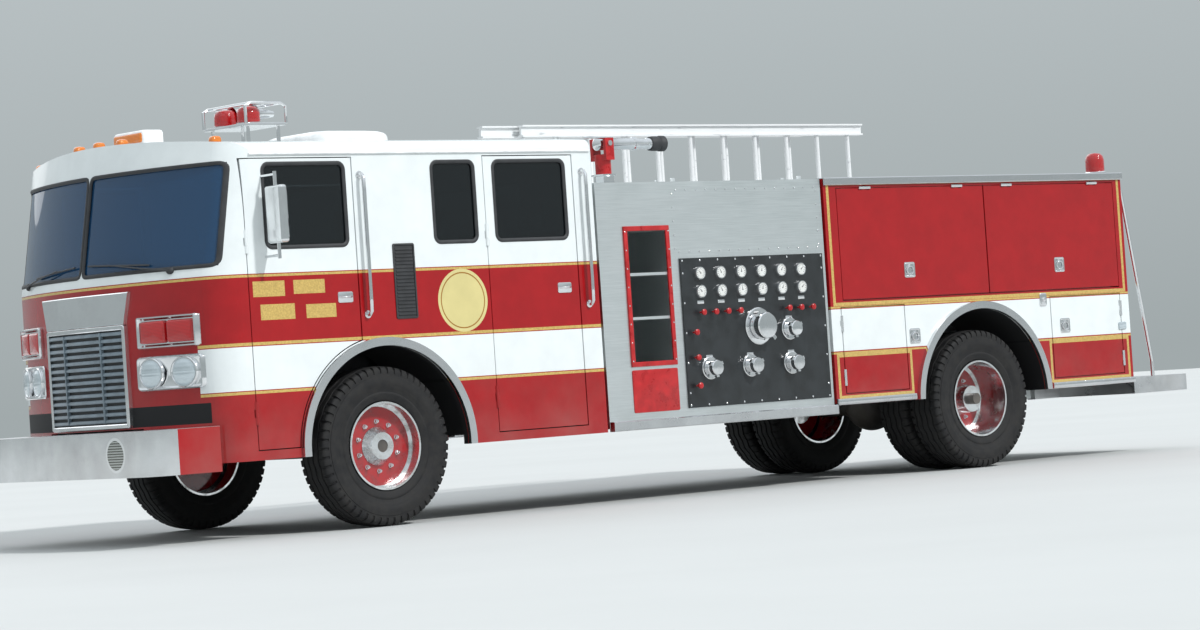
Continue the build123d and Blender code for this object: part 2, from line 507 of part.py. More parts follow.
front_y = TYRE_FACE_Y - half
outer_y = TYRE_FACE_Y - half
inner_y = outer_y - DUAL_SPACING
front_tyre = spun(TYRE, FRONT_AXLE_X, front_y, TYRE_R)
front_rim = spun(rim_profile(30), FRONT_AXLE_X, front_y, TYRE_R)
rear_tyres = [spun(TYRE, REAR_AXLE_X, y, TYRE_R) for y in (outer_y, inner_y)]
middle = (outer_y + inner_y) / 2
drum = DUAL_SPACING / 2
dual = spun([(-drum - half + 20, RIM_R), (-drum - half + 20, RIM_R - RIM_T), (-15, RIM_R - RIM_T), (-15, HUB_R),
             (-70, HUB_R), (-70, bore), (200, bore), (200, HUB_R - 30), (15, HUB_R), (15, RIM_R - RIM_T),
             (drum + half - 20, RIM_R - RIM_T), (drum + half - 20, RIM_R), (drum - half + 20, RIM_R),
             (drum - half + 20, RIM_R - 2), (-drum + half - 20, RIM_R - 2), (-drum + half - 20, RIM_R)],
            REAR_AXLE_X, middle, TYRE_R)
for side, turn in (("left", lambda s: s), ("right", mirrored)):
    save(f"tyre_front_{side}", turn(front_tyre))
    save(f"rim_front_{side}", turn(front_rim))
    save(f"tyres_rear_{side}", *[turn(t) for t in rear_tyres])
    save(f"rims_rear_{side}", turn(dual))

# Ends: bumper, tail step, rails
bumper = block(BUMPER_X, (-BUMPER_HALF, BUMPER_HALF), BUMPER_Z)
bumper = fillet([e for e in bumper.edges().filter_by(Axis.Z) if e.center().X > BUMPER_X[0] + 10], 180)
save("front_bumper", bumper)
step = block((TAIL_X, BODY_X[0]), (-HALF_WIDTH, HALF_WIDTH), TAIL_Z)
for y in (RAIL_OUTER_Y - RAIL_WIDTH, -RAIL_OUTER_Y):
    step += block((BODY_X[0] - 1, BODY_X[0] + 300), (y, y + RAIL_WIDTH), (TAIL_Z[0], BODY_Z[0] - 5))
    step += block((BODY_X[0] + 100, BODY_X[0] + 300), (y, y + RAIL_WIDTH), (TAIL_Z[0], RAIL_Z[0]))
save("rear_step", step)
grip = tube([(BODY_X[0], 1150, 2130), (BODY_X[0] - 80, 1150, 2130), (BODY_X[0] - 330, 1150, 720),
             (BODY_X[0] - 330, 1150, TAIL_Z[1])], 16, 40)
save("hand_rails", *pair(grip))

# On top: ladders, deck gun, flood lamps, rear lamps
LADDER_Y = (-1120, -1080)
ladders = []
for y, x in (((-1130, -1060), (-3100, 330)), ((-1040, -975), (-3700, 0))):
    low, high = 2300, 2860
    ladder = block(x, y, (low, low + 70)) + block(x, y, (high - 70, high))
    count = int((x[1] - x[0]) / 356)
    for i in range(count):
        ladder += rod_z(x[0] + 160 + i * 356, (y[0] + y[1]) / 2, (low + 60, high - 60), 16)
    ladders.append(ladder)
for x in (-2900, -1500, -100):
    z0 = BODY_Z[1]
    ladders.append(block((x - 30, x + 30), (-1160, -950), (z0, 2300)))
save("ladders", *ladders)

GUN_X, GUN_Y = FRONT_AXLE_X - 3090, 0
fittings.append(rod_z(GUN_X, GUN_Y, (MODULE_Z[1], MODULE_Z[1] + 150), 80))
save("pump_fittings", *fittings)
turret = rod_z(GUN_X, GUN_Y, (MODULE_Z[1] + 150.3, MODULE_Z[1] + 300), 60)
fork = block((GUN_X - 40, GUN_X + 40), (-90, -62), (MODULE_Z[1] + 255, MODULE_Z[1] + 420))
turret += block((GUN_X - 40, GUN_X + 40), (-90, 90), (MODULE_Z[1] + 255, MODULE_Z[1] + 300)) + fork + mirrored(fork)
GUN_Z = MODULE_Z[1] + 380
turret -= rod_y(GUN_X, (-100, 100), GUN_Z, 20 + RUNNING)
save("gun_turret", turret)
barrel = rod_x((GUN_X - 620, GUN_X + 60), GUN_Y, GUN_Z, 50) + rod_y(GUN_X, (-100, 100), GUN_Z, 20)
save("gun_barrel", barrel)

warnings += pair(rod_z(BODY_X[0] + 120, 1080, (BODY_Z[1], BODY_Z[1] + 180), 90))
save("warning_lamps", *warnings)
save("rear_lamps", *pair(block((BODY_X[0] - 25, BODY_X[0]), (1000, 1160), (700, 1000))))
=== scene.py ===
import json
from math import pi, radians, sqrt

import bmesh
import bpy
import numpy as np
from bpy.props import FloatProperty, FloatVectorProperty, IntProperty, PointerProperty
from mathutils import Matrix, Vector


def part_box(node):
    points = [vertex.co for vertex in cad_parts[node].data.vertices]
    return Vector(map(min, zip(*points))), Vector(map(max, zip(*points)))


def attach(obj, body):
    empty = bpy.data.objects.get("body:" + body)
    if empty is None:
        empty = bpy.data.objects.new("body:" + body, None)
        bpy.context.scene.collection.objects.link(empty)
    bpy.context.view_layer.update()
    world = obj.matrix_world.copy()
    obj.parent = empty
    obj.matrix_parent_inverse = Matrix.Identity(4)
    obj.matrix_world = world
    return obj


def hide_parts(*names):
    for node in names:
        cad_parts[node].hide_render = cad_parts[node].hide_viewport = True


bl_info = {
    "name": "Pumper fire engine",
    "version": (1, 0, 0),
    "blender": (4, 5, 0),
    "location": "3D View > Sidebar > Fire engine",
    "description": "Dresses the fire engine: paint, metal, glass, lamps, tyres and a studio",
    "category": "Object",
}

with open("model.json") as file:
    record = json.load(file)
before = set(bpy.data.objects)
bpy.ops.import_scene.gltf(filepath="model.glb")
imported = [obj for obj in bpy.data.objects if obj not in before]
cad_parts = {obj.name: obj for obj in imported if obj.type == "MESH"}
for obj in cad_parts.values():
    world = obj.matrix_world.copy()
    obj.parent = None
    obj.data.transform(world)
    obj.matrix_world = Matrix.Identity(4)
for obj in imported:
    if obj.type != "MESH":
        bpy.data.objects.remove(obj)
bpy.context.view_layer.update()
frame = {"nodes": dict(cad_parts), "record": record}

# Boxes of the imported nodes, and places read from them, in metres
SIDES = (("left", 1), ("right", -1))
BODY_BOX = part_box("body_left")
TYRE_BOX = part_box("tyre_front_left")
REAR_TYRE_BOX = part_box("tyres_rear_left")
MODULE_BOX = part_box("pump_module")
FRONT_AXLE_X = (TYRE_BOX[0][0] + TYRE_BOX[1][0]) / 2
REAR_AXLE_X = (REAR_TYRE_BOX[0][0] + REAR_TYRE_BOX[1][0]) / 2
TYRE_HALF = (TYRE_BOX[1][1] - TYRE_BOX[0][1]) / 2
CAB_REAR = FRONT_AXLE_X - 1.90
CAB_FRONT = FRONT_AXLE_X + 1.25
BODY_REAR = BODY_BOX[0][0]
BODY_FRONT = BODY_BOX[1][0]

# Sizes of the solids that the pieces are fitted to, in metres
HALF_WIDTH = 1.230
TYRE_R = 0.53
BELT_Z = 1.70
CROWN_Z = 2.62
DECK_Z = 2.24
CORNER_R = 0.14
SCREEN_LEAN = 0.15 / 0.84
PANEL_FACE = HALF_WIDTH + 0.002
DASH_X = FRONT_AXLE_X + 0.8698

# The bow of the cab's front: how far it stands out in the middle, the radius of its arc through
# both corners, the stretch of x over which it sets in, and where the front is cut to bend
CAB_BOW = 0.28
BOW_R = (HALF_WIDTH ** 2 + CAB_BOW ** 2) / (2 * CAB_BOW)
BOW_RAMP = (4.06, 4.22)
BOW_CUTS = np.linspace(-1.2, 1.2, 31)

# Heights of the white stripes and gold lines, on the cab and on the body
CAB_STRIPE = (0.95, 1.23)
BODY_STRIPE = (0.96, 1.27)
CAB_LINES = ((1.236, 1.256), (0.926, 0.944))
BELT_LINE = (BELT_Z - 0.026, BELT_Z - 0.010)
BODY_LINES = ((1.276, 1.290), (0.938, 0.952))
NOSE_HALF = 1.03

# Gold bars on the cab's sides, as x before the front axle and z, and the roundel beside them
GOLD_BARS = (((0.77, 1.02), (1.545, 1.645)), ((0.45, 0.70), (1.555, 1.645)),
             ((0.70, 0.97), (1.395, 1.495)), ((0.37, 0.61), (1.395, 1.485)))
ROUNDEL = (FRONT_AXLE_X - 0.69, 1.465)
ROUNDEL_R = 0.212
ROUNDEL_RING = (0.181, 0.190)

# The openings for the hose trays beside the pump panel
TRAY_X = (CAB_REAR - 0.66, CAB_REAR - 0.30)
TRAY_Z = (0.975, 1.895)

# Gauges, capped discharges and the large intake of the pump panel, as x and z
GAUGE_X = [-0.70, -0.50, -0.30, -0.10, 0.10, 0.30]
GAUGE_Z = (1.58, 1.45)
GAUGE_R = 0.048
DISCHARGES = [(-0.56, 1.15), (-0.56, 0.90), (-0.15, 0.90), (0.25, 0.90)]
INTAKE = (-0.25, 1.18)

# The camera of the photograph, found from known points of the vehicle
CAMERA_PLACE = (16.873, 19.268, 0.889)
CAMERA_RIGHT = (-0.75507, 0.65225, -0.06666)
CAMERA_UP = (-0.03866, 0.05720, 0.99761)
CAMERA_BACK = (0.65450, 0.75585, -0.01798)
CAMERA_LENS = 102.98
SENSOR_WIDTH = 36.0

# Colours that several finishes share
CHROME = (0.80, 0.81, 0.82)
DUST = (0.23, 0.20, 0.17)


# ---------------------------------------------------------------- finishes

class Recipe:
    """The node tree of one finish, with short calls for the nodes that it is made of."""

    def __init__(self, name):
        self.material = bpy.data.materials.new(name)
        self.material.use_nodes = True
        self.tree = self.material.node_tree
        self.shader = self.tree.nodes["Principled BSDF"]
        self.place = self.tree.nodes.new("ShaderNodeTexCoord").outputs["Object"]
        split = self.tree.nodes.new("ShaderNodeSeparateXYZ")
        self.tree.links.new(self.place, split.inputs[0])
        self.x, self.y, self.z = split.outputs
        self.side = self.math("ABSOLUTE", self.y)
        self.normal = None

    def put(self, socket, value):
        """Links a socket to the value, or sets it where the value is a number or a colour."""
        if isinstance(value, bpy.types.NodeSocket):
            self.tree.links.new(value, socket)
        elif hasattr(value, "__len__") and len(value) == 3 and socket.type == "RGBA":
            socket.default_value = (*value, 1)
        else:
            socket.default_value = value

    def math(self, kind, *values):
        """One step of arithmetic on values."""
        node = self.tree.nodes.new("ShaderNodeMath")
        node.operation = kind
        for socket, value in zip(node.inputs, values):
            self.put(socket, value)
        return node.outputs[0]

    def over(self, value, limit):
        """1 where the value is above the limit, else 0."""
        return self.math("GREATER_THAN", value, limit)

    def under(self, value, limit):
        """1 where the value is below the limit, else 0."""
        return self.math("LESS_THAN", value, limit)

    def band(self, value, low, high):
        """1 where the value lies between low and high, else 0."""
        return self.math("COMPARE", value, (low + high) / 2, (high - low) / 2)

    def both(self, *masks):
        """1 where all the masks are 1: their product."""
        out = masks[0]
        for mask in masks[1:]:
            out = self.math("MULTIPLY", out, mask)
        return out

    def either(self, *masks):
        """1 where any of the masks is 1: the largest of them."""
        out = masks[0]
        for mask in masks[1:]:
            out = self.math("MAXIMUM", out, mask)
        return out

    def but(self, mask, hole):
        """The mask without the hole."""
        return self.math("MULTIPLY", mask, self.other(hole))

    def other(self, mask):
        """1 where the mask is 0, and 0 where it is 1."""
        return self.math("SUBTRACT", 1.0, mask)

    def window(self, x, z):
        """1 inside a rectangle of the side view."""
        return self.both(self.band(self.x, *x), self.band(self.z, *z))

    def border(self, x, z, width):
        """1 on a line of this width just inside a rectangle of the side view."""
        inside = self.window((x[0] + width, x[1] - width), (z[0] + width, z[1] - width))
        return self.but(self.window(x, z), inside)

    def disc(self, a, b, centre, radius):
        """1 inside a circle in the plane of two coordinates."""
        da = self.math("SUBTRACT", a, centre[0])
        db = self.math("SUBTRACT", b, centre[1])
        square = self.math("ADD", self.math("MULTIPLY", da, da), self.math("MULTIPLY", db, db))
        return self.under(square, radius * radius)

    def mix(self, mask, a, b):
        """A colour going from a, where the mask is 0, to b, where it is 1."""
        node = self.tree.nodes.new("ShaderNodeMix")
        node.data_type = "RGBA"
        self.put(node.inputs[0], mask)
        self.put(node.inputs[6], a)
        self.put(node.inputs[7], b)
        return node.outputs[2]

    def blend(self, mask, a, b):
        """A number going from a, where the mask is 0, to b, where it is 1."""
        node = self.tree.nodes.new("ShaderNodeMapRange")
        self.put(node.inputs["Value"], mask)
        node.inputs["To Min"].default_value = a
        node.inputs["To Max"].default_value = b
        return node.outputs[0]

    def noise(self, scale, stretch=(1, 1, 1), detail=4.0, rough=0.55):
        """Soft noise between 0 and 1, finer with the scale and drawn out by the stretch."""
        mapping = self.tree.nodes.new("ShaderNodeMapping")
        mapping.inputs["Scale"].default_value = stretch
        self.tree.links.new(self.place, mapping.inputs["Vector"])
        node = self.tree.nodes.new("ShaderNodeTexNoise")
        self.tree.links.new(mapping.outputs[0], node.inputs["Vector"])
        node.inputs["Scale"].default_value = scale
        node.inputs["Detail"].default_value = detail
        node.inputs["Roughness"].default_value = rough
        return node.outputs["Fac"]

    def ramp(self, value, low, high):
        """The value stretched so that low becomes 0 and high becomes 1, held between them."""
        node = self.tree.nodes.new("ShaderNodeMapRange")
        self.put(node.inputs["Value"], value)
        node.inputs["From Min"].default_value = low
        node.inputs["From Max"].default_value = high
        return node.outputs[0]

    def upward(self):
        """The upward part of the face's own normal, 1 on a level top."""
        split = self.tree.nodes.new("ShaderNodeSeparateXYZ")
        geometry = self.tree.nodes.new("ShaderNodeNewGeometry")
        self.tree.links.new(geometry.outputs["True Normal"], split.inputs[0])
        return split.outputs[2]

    def relief(self, height, strength, distance):
        """Adds a bump over those that are there already."""
        node = self.tree.nodes.new("ShaderNodeBump")
        node.inputs["Strength"].default_value = strength
        node.inputs["Distance"].default_value = distance
        self.tree.links.new(height, node.inputs["Height"])
        if self.normal is not None:
            self.tree.links.new(self.normal, node.inputs["Normal"])
        self.normal = node.outputs[0]
        self.tree.links.new(self.normal, self.shader.inputs["Normal"])

    def give(self, **values):
        """Puts values on the shader's sockets, with their names' spaces written as underscores."""
        for name, value in values.items():
            self.put(self.shader.inputs[name.replace("_", " ")], value)

    def dusty(self, colour, amount):
        """Road dust: a warm grey that gathers low down, broken up by noise."""
        low = self.ramp(self.z, 1.15, 0.35)
        patch = self.ramp(self.noise(2.3, detail=6.0), 0.38, 0.72)
        mask = self.math("MULTIPLY", self.math("MULTIPLY", low, patch), amount)
        return self.mix(mask, colour, DUST)

    def chequer(self, pitch):
        """Height of raised bars set crosswise: each cell of a diagonal grid holds one lens-shaped
        bar, turned a quarter from its neighbours."""
        p = self.math("DIVIDE", self.math("ADD", self.x, self.y), pitch)
        q = self.math("DIVIDE", self.math("SUBTRACT", self.x, self.y), pitch)
        a = self.math("SUBTRACT", self.math("FRACT", p), 0.5)
        b = self.math("SUBTRACT", self.math("FRACT", q), 0.5)
        cells = self.math("ADD", self.math("FLOOR", p), self.math("FLOOR", q))
        odd = self.math("FLOORED_MODULO", cells, 2.0)
        da = self.math("MULTIPLY", a, self.blend(odd, 2.2, 6.5))
        db = self.math("MULTIPLY", b, self.blend(odd, 6.5, 2.2))
        square = self.math("ADD", self.math("MULTIPLY", da, da), self.math("MULTIPLY", db, db))
        return self.ramp(square, 1.0, 0.4)

    def deck_bars(self):
        """Height of chequer bars on the level tops of body and module, which people walk on."""
        top = self.both(self.over(self.upward(), 0.9), self.over(self.z, DECK_Z - 0.04))
        return self.both(self.chequer(0.042), top)


def shade(colour, factor):
    """A colour made darker or lighter by a factor."""
    return tuple(c * factor for c in colour)


def cab_inside(r):
    """1 in the space inside the cab's walls: behind the bowed front, under the arched roof."""
    square = r.math("MULTIPLY", r.y, r.y)
    rise = r.math("MAXIMUM", r.math("SUBTRACT", r.z, BELT_Z), 0.0)
    front = r.math("MULTIPLY_ADD", square, 0.5 / BOW_R * 1.05, r.x)
    front = r.math("MULTIPLY_ADD", rise, SCREEN_LEAN, front)
    roof = r.math("MULTIPLY_ADD", square, 0.053, r.z)
    return r.both(r.under(front, CAB_FRONT + CAB_BOW - 0.048), r.over(r.x, CAB_REAR + 0.04),
                  r.under(r.side, HALF_WIDTH - 0.046), r.under(roof, CROWN_Z - 0.03))


def gold_lines(r, cab, body, nose, outer):
    """1 on the gold lines along cab and body, and on the frames round the lockers."""
    lines = r.but(r.both(cab, r.either(*[r.band(r.z, *z) for z in CAB_LINES])), nose)
    lines = r.either(lines, r.both(cab, r.band(r.z, *BELT_LINE)))
    lines = r.either(lines, r.both(body, r.either(*[r.band(r.z, *z) for z in BODY_LINES])))
    back, front = BODY_REAR + 0.030, BODY_FRONT - 0.030
    wheel = (REAR_AXLE_X - 0.775, REAR_AXLE_X + 0.775)
    frames = r.either(r.border((back, front), (1.292, 2.215), 0.026),
                      r.border((back, wheel[0]), (0.605, 0.938), 0.024),
                      r.border((wheel[1], front), (0.605, 0.938), 0.024))
    return r.either(lines, r.both(frames, outer))


def bright_fittings(r, body):
    """1 on what stands out from the sides: the cab doors' handles and the lockers' hinges."""
    proud = r.over(r.side, HALF_WIDTH + 0.0006)
    grips = r.either(*[r.band(r.x, FRONT_AXLE_X + low, FRONT_AXLE_X + low + 0.15)
                       for low in (0.215, -1.665)])
    return r.either(r.both(proud, r.band(r.z, 1.475, 1.565), grips), r.both(proud, body))


def vehicle_paint(name, colours):
    """Gloss red with white upper works and stripe, gold lines, bars and roundel, bare inside."""
    r = Recipe(name)
    cab = r.over(r.x, CAB_REAR - 0.02)
    body = r.under(r.x, BODY_FRONT + 0.02)
    nose = r.both(r.over(r.x, CAB_FRONT - 0.02), r.under(r.side, NOSE_HALF))
    white = r.either(r.both(cab, r.over(r.z, BELT_Z - 0.004)),
                     r.but(r.both(cab, r.band(r.z, *CAB_STRIPE)), nose),
                     r.both(body, r.band(r.z, *BODY_STRIPE)))
    outer = r.over(r.side, HALF_WIDTH - 0.006)
    lines = gold_lines(r, cab, body, nose, outer)
    bars = r.either(*[r.window((FRONT_AXLE_X + x[0], FRONT_AXLE_X + x[1]), z)
                      for x, z in GOLD_BARS])
    roundel = r.disc(r.x, r.z, ROUNDEL, ROUNDEL_R)
    ring = r.but(r.disc(r.x, r.z, ROUNDEL, ROUNDEL_RING[1]),
                 r.disc(r.x, r.z, ROUNDEL, ROUNDEL_RING[0]))
    gold = r.either(lines, r.both(outer, r.either(bars, roundel)))
    tint = r.ramp(r.noise(7.0, detail=3.0), 0.3, 0.7)
    red = r.mix(tint, colours.red, shade(colours.red, 0.86))
    pale = r.mix(tint, colours.white, shade(colours.white, 0.94))
    leaf = r.mix(r.ramp(r.noise(90.0), 0.35, 0.65), colours.gold, shade(colours.gold, 0.72))
    disc = r.mix(tint, colours.roundel, shade(colours.roundel, 0.9))
    leaf = r.mix(r.both(outer, roundel), leaf, disc)
    leaf = r.mix(r.both(outer, ring), leaf, (0.42, 0.20, 0.04))
    colour = r.dusty(r.mix(gold, r.mix(white, red, pale), leaf), 0.30)
    bright_parts = bright_fittings(r, body)
    recessed = r.under(r.side, HALF_WIDTH - 0.004)
    arch = r.both(recessed, r.either(r.disc(r.x, r.z, (REAR_AXLE_X, TYRE_R), 0.705),
                                     r.under(r.z, 0.575)))
    bays = r.both(body, r.under(r.side, HALF_WIDTH - 0.045),
                  r.band(r.x, BODY_REAR + 0.02, BODY_FRONT))
    bays = r.both(bays, r.either(r.under(r.z, DECK_Z + 0.022), r.under(r.side, 0.5705)))
    louvre_back = r.both(r.window((FRONT_AXLE_X - 0.30, FRONT_AXLE_X - 0.12), (1.36, 1.86)),
                         r.under(r.side, HALF_WIDTH - 0.001))
    # Painted shade: a near-black band on the flat nose under the headlamps stands in for the shade
    # inside an intake slot that has no depth
    painted_slot_shade = r.both(r.over(r.x, CAB_FRONT - 0.05), r.band(r.z, 0.7605, 0.8895),
                       r.under(r.side, 1.1))
    cab_arch = r.both(cab, recessed, r.disc(r.x, r.z, (FRONT_AXLE_X, TYRE_R), 0.735))
    # Near black for the wheel arches, the body's underside and the louvre, plus the painted shade of
    # the nose slot
    dark = r.either(r.both(body, arch), cab_arch, louvre_back, painted_slot_shade)
    lining = cab_inside(r)
    grey = r.mix(r.ramp(r.noise(40.0), 0.3, 0.7), (0.36, 0.37, 0.38), (0.42, 0.43, 0.44))
    for mask, tone in ((bays, grey), (lining, (0.045, 0.047, 0.050)), (dark, (0.012, 0.012, 0.013)),
                       (bright_parts, (0.78, 0.79, 0.80))):
        colour = r.mix(mask, colour, tone)
    dull = r.either(lining, dark, bays)
    r.give(Base_Color=colour, Metallic=r.either(r.math("MULTIPLY", gold, 0.35), bright_parts),
           Roughness=r.blend(dull, 0.24, 0.62), Coat_Weight=r.blend(dull, 0.55, 0.0),
           Coat_Roughness=0.04, Specular_IOR_Level=0.3)
    r.relief(r.noise(160.0, detail=2.0), 0.035, 0.0006)
    return r.material


def satin(name, colour, rough, grain, dust=0.0):
    """A dull paint or plastic with a fine grain and some dust."""
    r = Recipe(name)
    spread = r.ramp(r.noise(12.0, detail=5.0), 0.35, 0.7)
    tone = r.mix(spread, colour, tuple(min(1.0, c * 1.5 + 0.006) for c in colour))
    r.give(Base_Color=r.dusty(tone, dust) if dust else tone,
           Roughness=r.blend(spread, rough, min(1.0, rough + 0.14)))
    r.relief(r.noise(grain, detail=3.0), 0.22, 0.0009)
    return r.material


def brushed(name, colours):
    """Stainless steel brushed along its length; on the module, red surrounds beside the trays and a
    black inside."""
    r = Recipe(name)
    streak = r.noise(9.0, (0.5, 30.0, 30.0), detail=6.0, rough=0.7)
    cloud = r.ramp(r.noise(1.7, detail=3.0), 0.3, 0.7)
    steel = r.mix(r.ramp(streak, 0.3, 0.7), (0.58, 0.62, 0.62), (0.74, 0.78, 0.78))
    steel = r.mix(r.math("MULTIPLY", cloud, 0.35), steel, (0.80, 0.82, 0.83))
    surround = r.both(r.window((TRAY_X[0] - 0.036, TRAY_X[1] + 0.036), (0.628, TRAY_Z[1] + 0.036)),
                      r.over(r.side, HALF_WIDTH - 0.0095))
    trays = r.both(r.window((TRAY_X[0] - 0.001, TRAY_X[1] + 0.001),
                            (TRAY_Z[0] - 0.001, TRAY_Z[1] + 0.001)),
                   r.under(r.side, HALF_WIDTH - 0.012))
    red = r.mix(r.ramp(r.noise(7.0), 0.3, 0.7), colours.red, shade(colours.red, 0.86))
    core = r.both(r.under(r.side, HALF_WIDTH - 0.061), r.under(r.z, DECK_Z - 0.04),
                  r.under(r.x, CAB_REAR - 0.02), r.over(r.x, BODY_FRONT))
    black = r.but(core, trays)
    colour = r.mix(black, r.mix(surround, steel, red), (0.03, 0.03, 0.032))
    r.give(Base_Color=r.dusty(colour, 0.2), Metallic=r.other(r.either(surround, black)),
           Roughness=r.blend(streak, 0.26, 0.50), Coat_Weight=r.math("MULTIPLY", surround, 0.8))
    r.relief(streak, 0.05, 0.0004)
    r.relief(r.deck_bars(), 0.7, 0.0016)
    return r.material


def bright(name, colour, rough=0.07, deck=False):
    """Chrome or polished metal with faint smears; a deck has chequer bars on its level top."""
    r = Recipe(name)
    smear = r.ramp(r.noise(5.0, detail=6.0), 0.42, 0.75)
    splash = r.math("MULTIPLY", r.ramp(r.z, 1.0, 0.45), r.ramp(r.noise(3.0, detail=7.0), 0.45, 0.8))
    smear = r.math("MAXIMUM", smear, splash)
    r.give(Base_Color=r.mix(smear, colour, shade(colour, 0.82)), Metallic=1.0,
           Roughness=r.blend(smear, rough, rough + 0.16))
    r.relief(r.noise(35.0, detail=2.0), 0.02, 0.0006)
    if deck:
        r.relief(r.deck_bars(), 0.7, 0.0016)
    return r.material


def bumper_finish(colours):
    """Chrome with a round lamp on each side in front, red at the ends, chequered plate on top."""
    r = Recipe("bumper")
    ends = r.both(r.under(r.x, CAB_FRONT + 0.40), r.over(r.side, 1.19))
    top = r.over(r.z, 0.7385)
    front = r.over(r.x, CAB_FRONT + 0.45)
    film = r.ramp(r.noise(5.0, detail=4.0), 0.35, 0.75)
    steel = r.mix(film, CHROME, (0.66, 0.67, 0.68))
    spot = (0.79, 0.595)
    lamp = r.both(front, r.disc(r.side, r.z, spot, 0.112))
    bowl = r.both(front, r.disc(r.side, r.z, spot, 0.094))
    grid = r.both(bowl, r.over(r.math("FRACT", r.math("MULTIPLY", r.z, 60.0)), 0.45))
    steel = r.mix(r.but(lamp, bowl), steel, (0.90, 0.91, 0.92))
    steel = r.mix(bowl, steel, (0.10, 0.11, 0.10))
    steel = r.mix(grid, steel, (0.52, 0.54, 0.52))
    paint = r.but(ends, top)
    r.give(Base_Color=r.dusty(r.mix(paint, steel, colours.red), 0.35),
           Metallic=r.blend(paint, 1.0, 0.0), Roughness=r.blend(top, 0.10, 0.30))
    r.relief(r.both(r.chequer(0.040), top), 0.5, 0.002)
    return r.material


def treadplate(name):
    """Bright aluminium treadplate, with its bars on level faces only."""
    r = Recipe(name)
    level = r.over(r.math("ABSOLUTE", r.upward()), 0.8)
    bars = r.both(r.chequer(0.042), level)
    cloud = r.ramp(r.noise(6.0, detail=5.0), 0.3, 0.7)
    metal = r.mix(cloud, (0.60, 0.61, 0.62), (0.74, 0.75, 0.76))
    metal = r.mix(r.math("MULTIPLY", bars, 0.6), metal, (0.85, 0.86, 0.87))
    r.give(Base_Color=r.dusty(metal, 0.35), Metallic=1.0, Roughness=r.blend(cloud, 0.24, 0.42))
    r.relief(bars, 0.8, 0.0018)
    return r.material


def rubber(name):
    """Dull black rubber with a fine grain."""
    r = Recipe(name)
    spread = r.ramp(r.noise(18.0, detail=6.0), 0.35, 0.7)
    tone = r.mix(spread, (0.012, 0.012, 0.013), (0.028, 0.027, 0.026))
    r.give(Base_Color=tone, Roughness=r.blend(spread, 0.62, 0.85), Specular_IOR_Level=0.3)
    r.relief(r.noise(420.0, detail=2.0), 0.25, 0.0006)
    return r.material


def wheel_paint(name, colours):
    """Red disc, bright hub and bright rim edge, told apart by the distance from the axle."""
    r = Recipe(name)
    axles = [(x, TYRE_R) for x in (FRONT_AXLE_X, REAR_AXLE_X)]
    hub, face = [r.either(*[r.disc(r.x, r.z, axle, radius) for axle in axles])
                 for radius in (0.128, 0.262)]
    metal_parts = r.either(hub, r.other(face))
    grime = r.ramp(r.noise(14.0, detail=6.0), 0.45, 0.75)
    red = r.mix(grime, colours.red, tuple(c * 0.5 + 0.02 for c in colours.red))
    metal = r.mix(grime, CHROME, (0.55, 0.54, 0.52))
    r.give(Base_Color=r.mix(metal_parts, red, metal), Metallic=metal_parts,
           Roughness=r.blend(grime, 0.14, 0.4),
           Coat_Weight=r.math("SUBTRACT", 0.9, r.math("MULTIPLY", metal_parts, 0.9)))
    r.relief(r.noise(60.0), 0.04, 0.0006)
    return r.material


def crackle(name):
    """Black crackle finish of the pump panels, with faint mottling."""
    r = Recipe(name)
    spread = r.ramp(r.noise(8.0, detail=5.0), 0.35, 0.7)
    r.give(Base_Color=r.mix(spread, (0.006, 0.008, 0.009), (0.013, 0.017, 0.020)),
           Roughness=r.blend(spread, 0.30, 0.5), Coat_Weight=0.4, Coat_Roughness=0.2)
    r.relief(r.noise(900.0, detail=3.0, rough=0.7), 0.35, 0.0007)
    return r.material


def window_glass(name, colours):
    """Blue tinted glass; a faint film of dust dulls it unevenly."""
    r = Recipe(name)
    film = r.ramp(r.noise(3.0, detail=6.0), 0.35, 0.8)
    front = r.over(r.x, CAB_FRONT - 0.2)
    tint = r.mix(front, colours.side_glass, colours.screen_glass)
    r.give(Base_Color=tint, Roughness=r.blend(film, 0.01, 0.05),
           Transmission_Weight=r.blend(front, 0.86, 0.50), IOR=1.45, Specular_IOR_Level=0.7)
    return r.material


def lamp_glass(name):
    """Clear lamp glass: fluted over the front lamps, smooth and see-through above the roof."""
    r = Recipe(name)
    roof = r.over(r.z, 2.5)
    flute = r.math("SINE", r.math("MULTIPLY", r.y, 520.0))
    rib = r.math("SINE", r.math("MULTIPLY", r.z, 240.0))
    pattern = r.math("MULTIPLY", r.math("ADD", flute, rib), r.other(roof))
    r.give(Base_Color=r.mix(roof, (0.66, 0.74, 0.78), (0.93, 0.95, 0.97)),
           Roughness=r.blend(r.noise(20.0), 0.02, 0.10), Metallic=r.blend(roof, 0.45, 0.0),
           Transmission_Weight=r.blend(roof, 0.25, 0.97), IOR=1.45, Coat_Weight=0.6)
    r.relief(pattern, 0.35, 0.0008)
    return r.material


def lens(name, colour, glow):
    """A moulded coloured lens with ribs inside and a little light of its own."""
    r = Recipe(name)
    ribs = r.math("SINE", r.math("MULTIPLY", r.z, 700.0))
    tone = r.mix(r.ramp(ribs, -1.0, 1.0), colour, shade(colour, 0.6))
    r.give(Base_Color=tone, Roughness=r.blend(r.noise(15.0), 0.06, 0.2), Transmission_Weight=0.15,
           Coat_Weight=0.8, Emission_Color=tone, Emission_Strength=glow)
    r.relief(ribs, 0.3, 0.0008)
    return r.material


def vinyl(name, colour):
    """Grained seat vinyl, lighter where it is worn."""
    r = Recipe(name)
    grain = r.noise(260.0, detail=3.0)
    spread = r.ramp(r.noise(5.0), 0.35, 0.7)
    r.give(Base_Color=r.mix(spread, colour, shade(colour, 1.6)),
           Roughness=r.blend(spread, 0.42, 0.6), Sheen_Weight=0.15)
    r.relief(grain, 0.3, 0.0008)
    return r.material


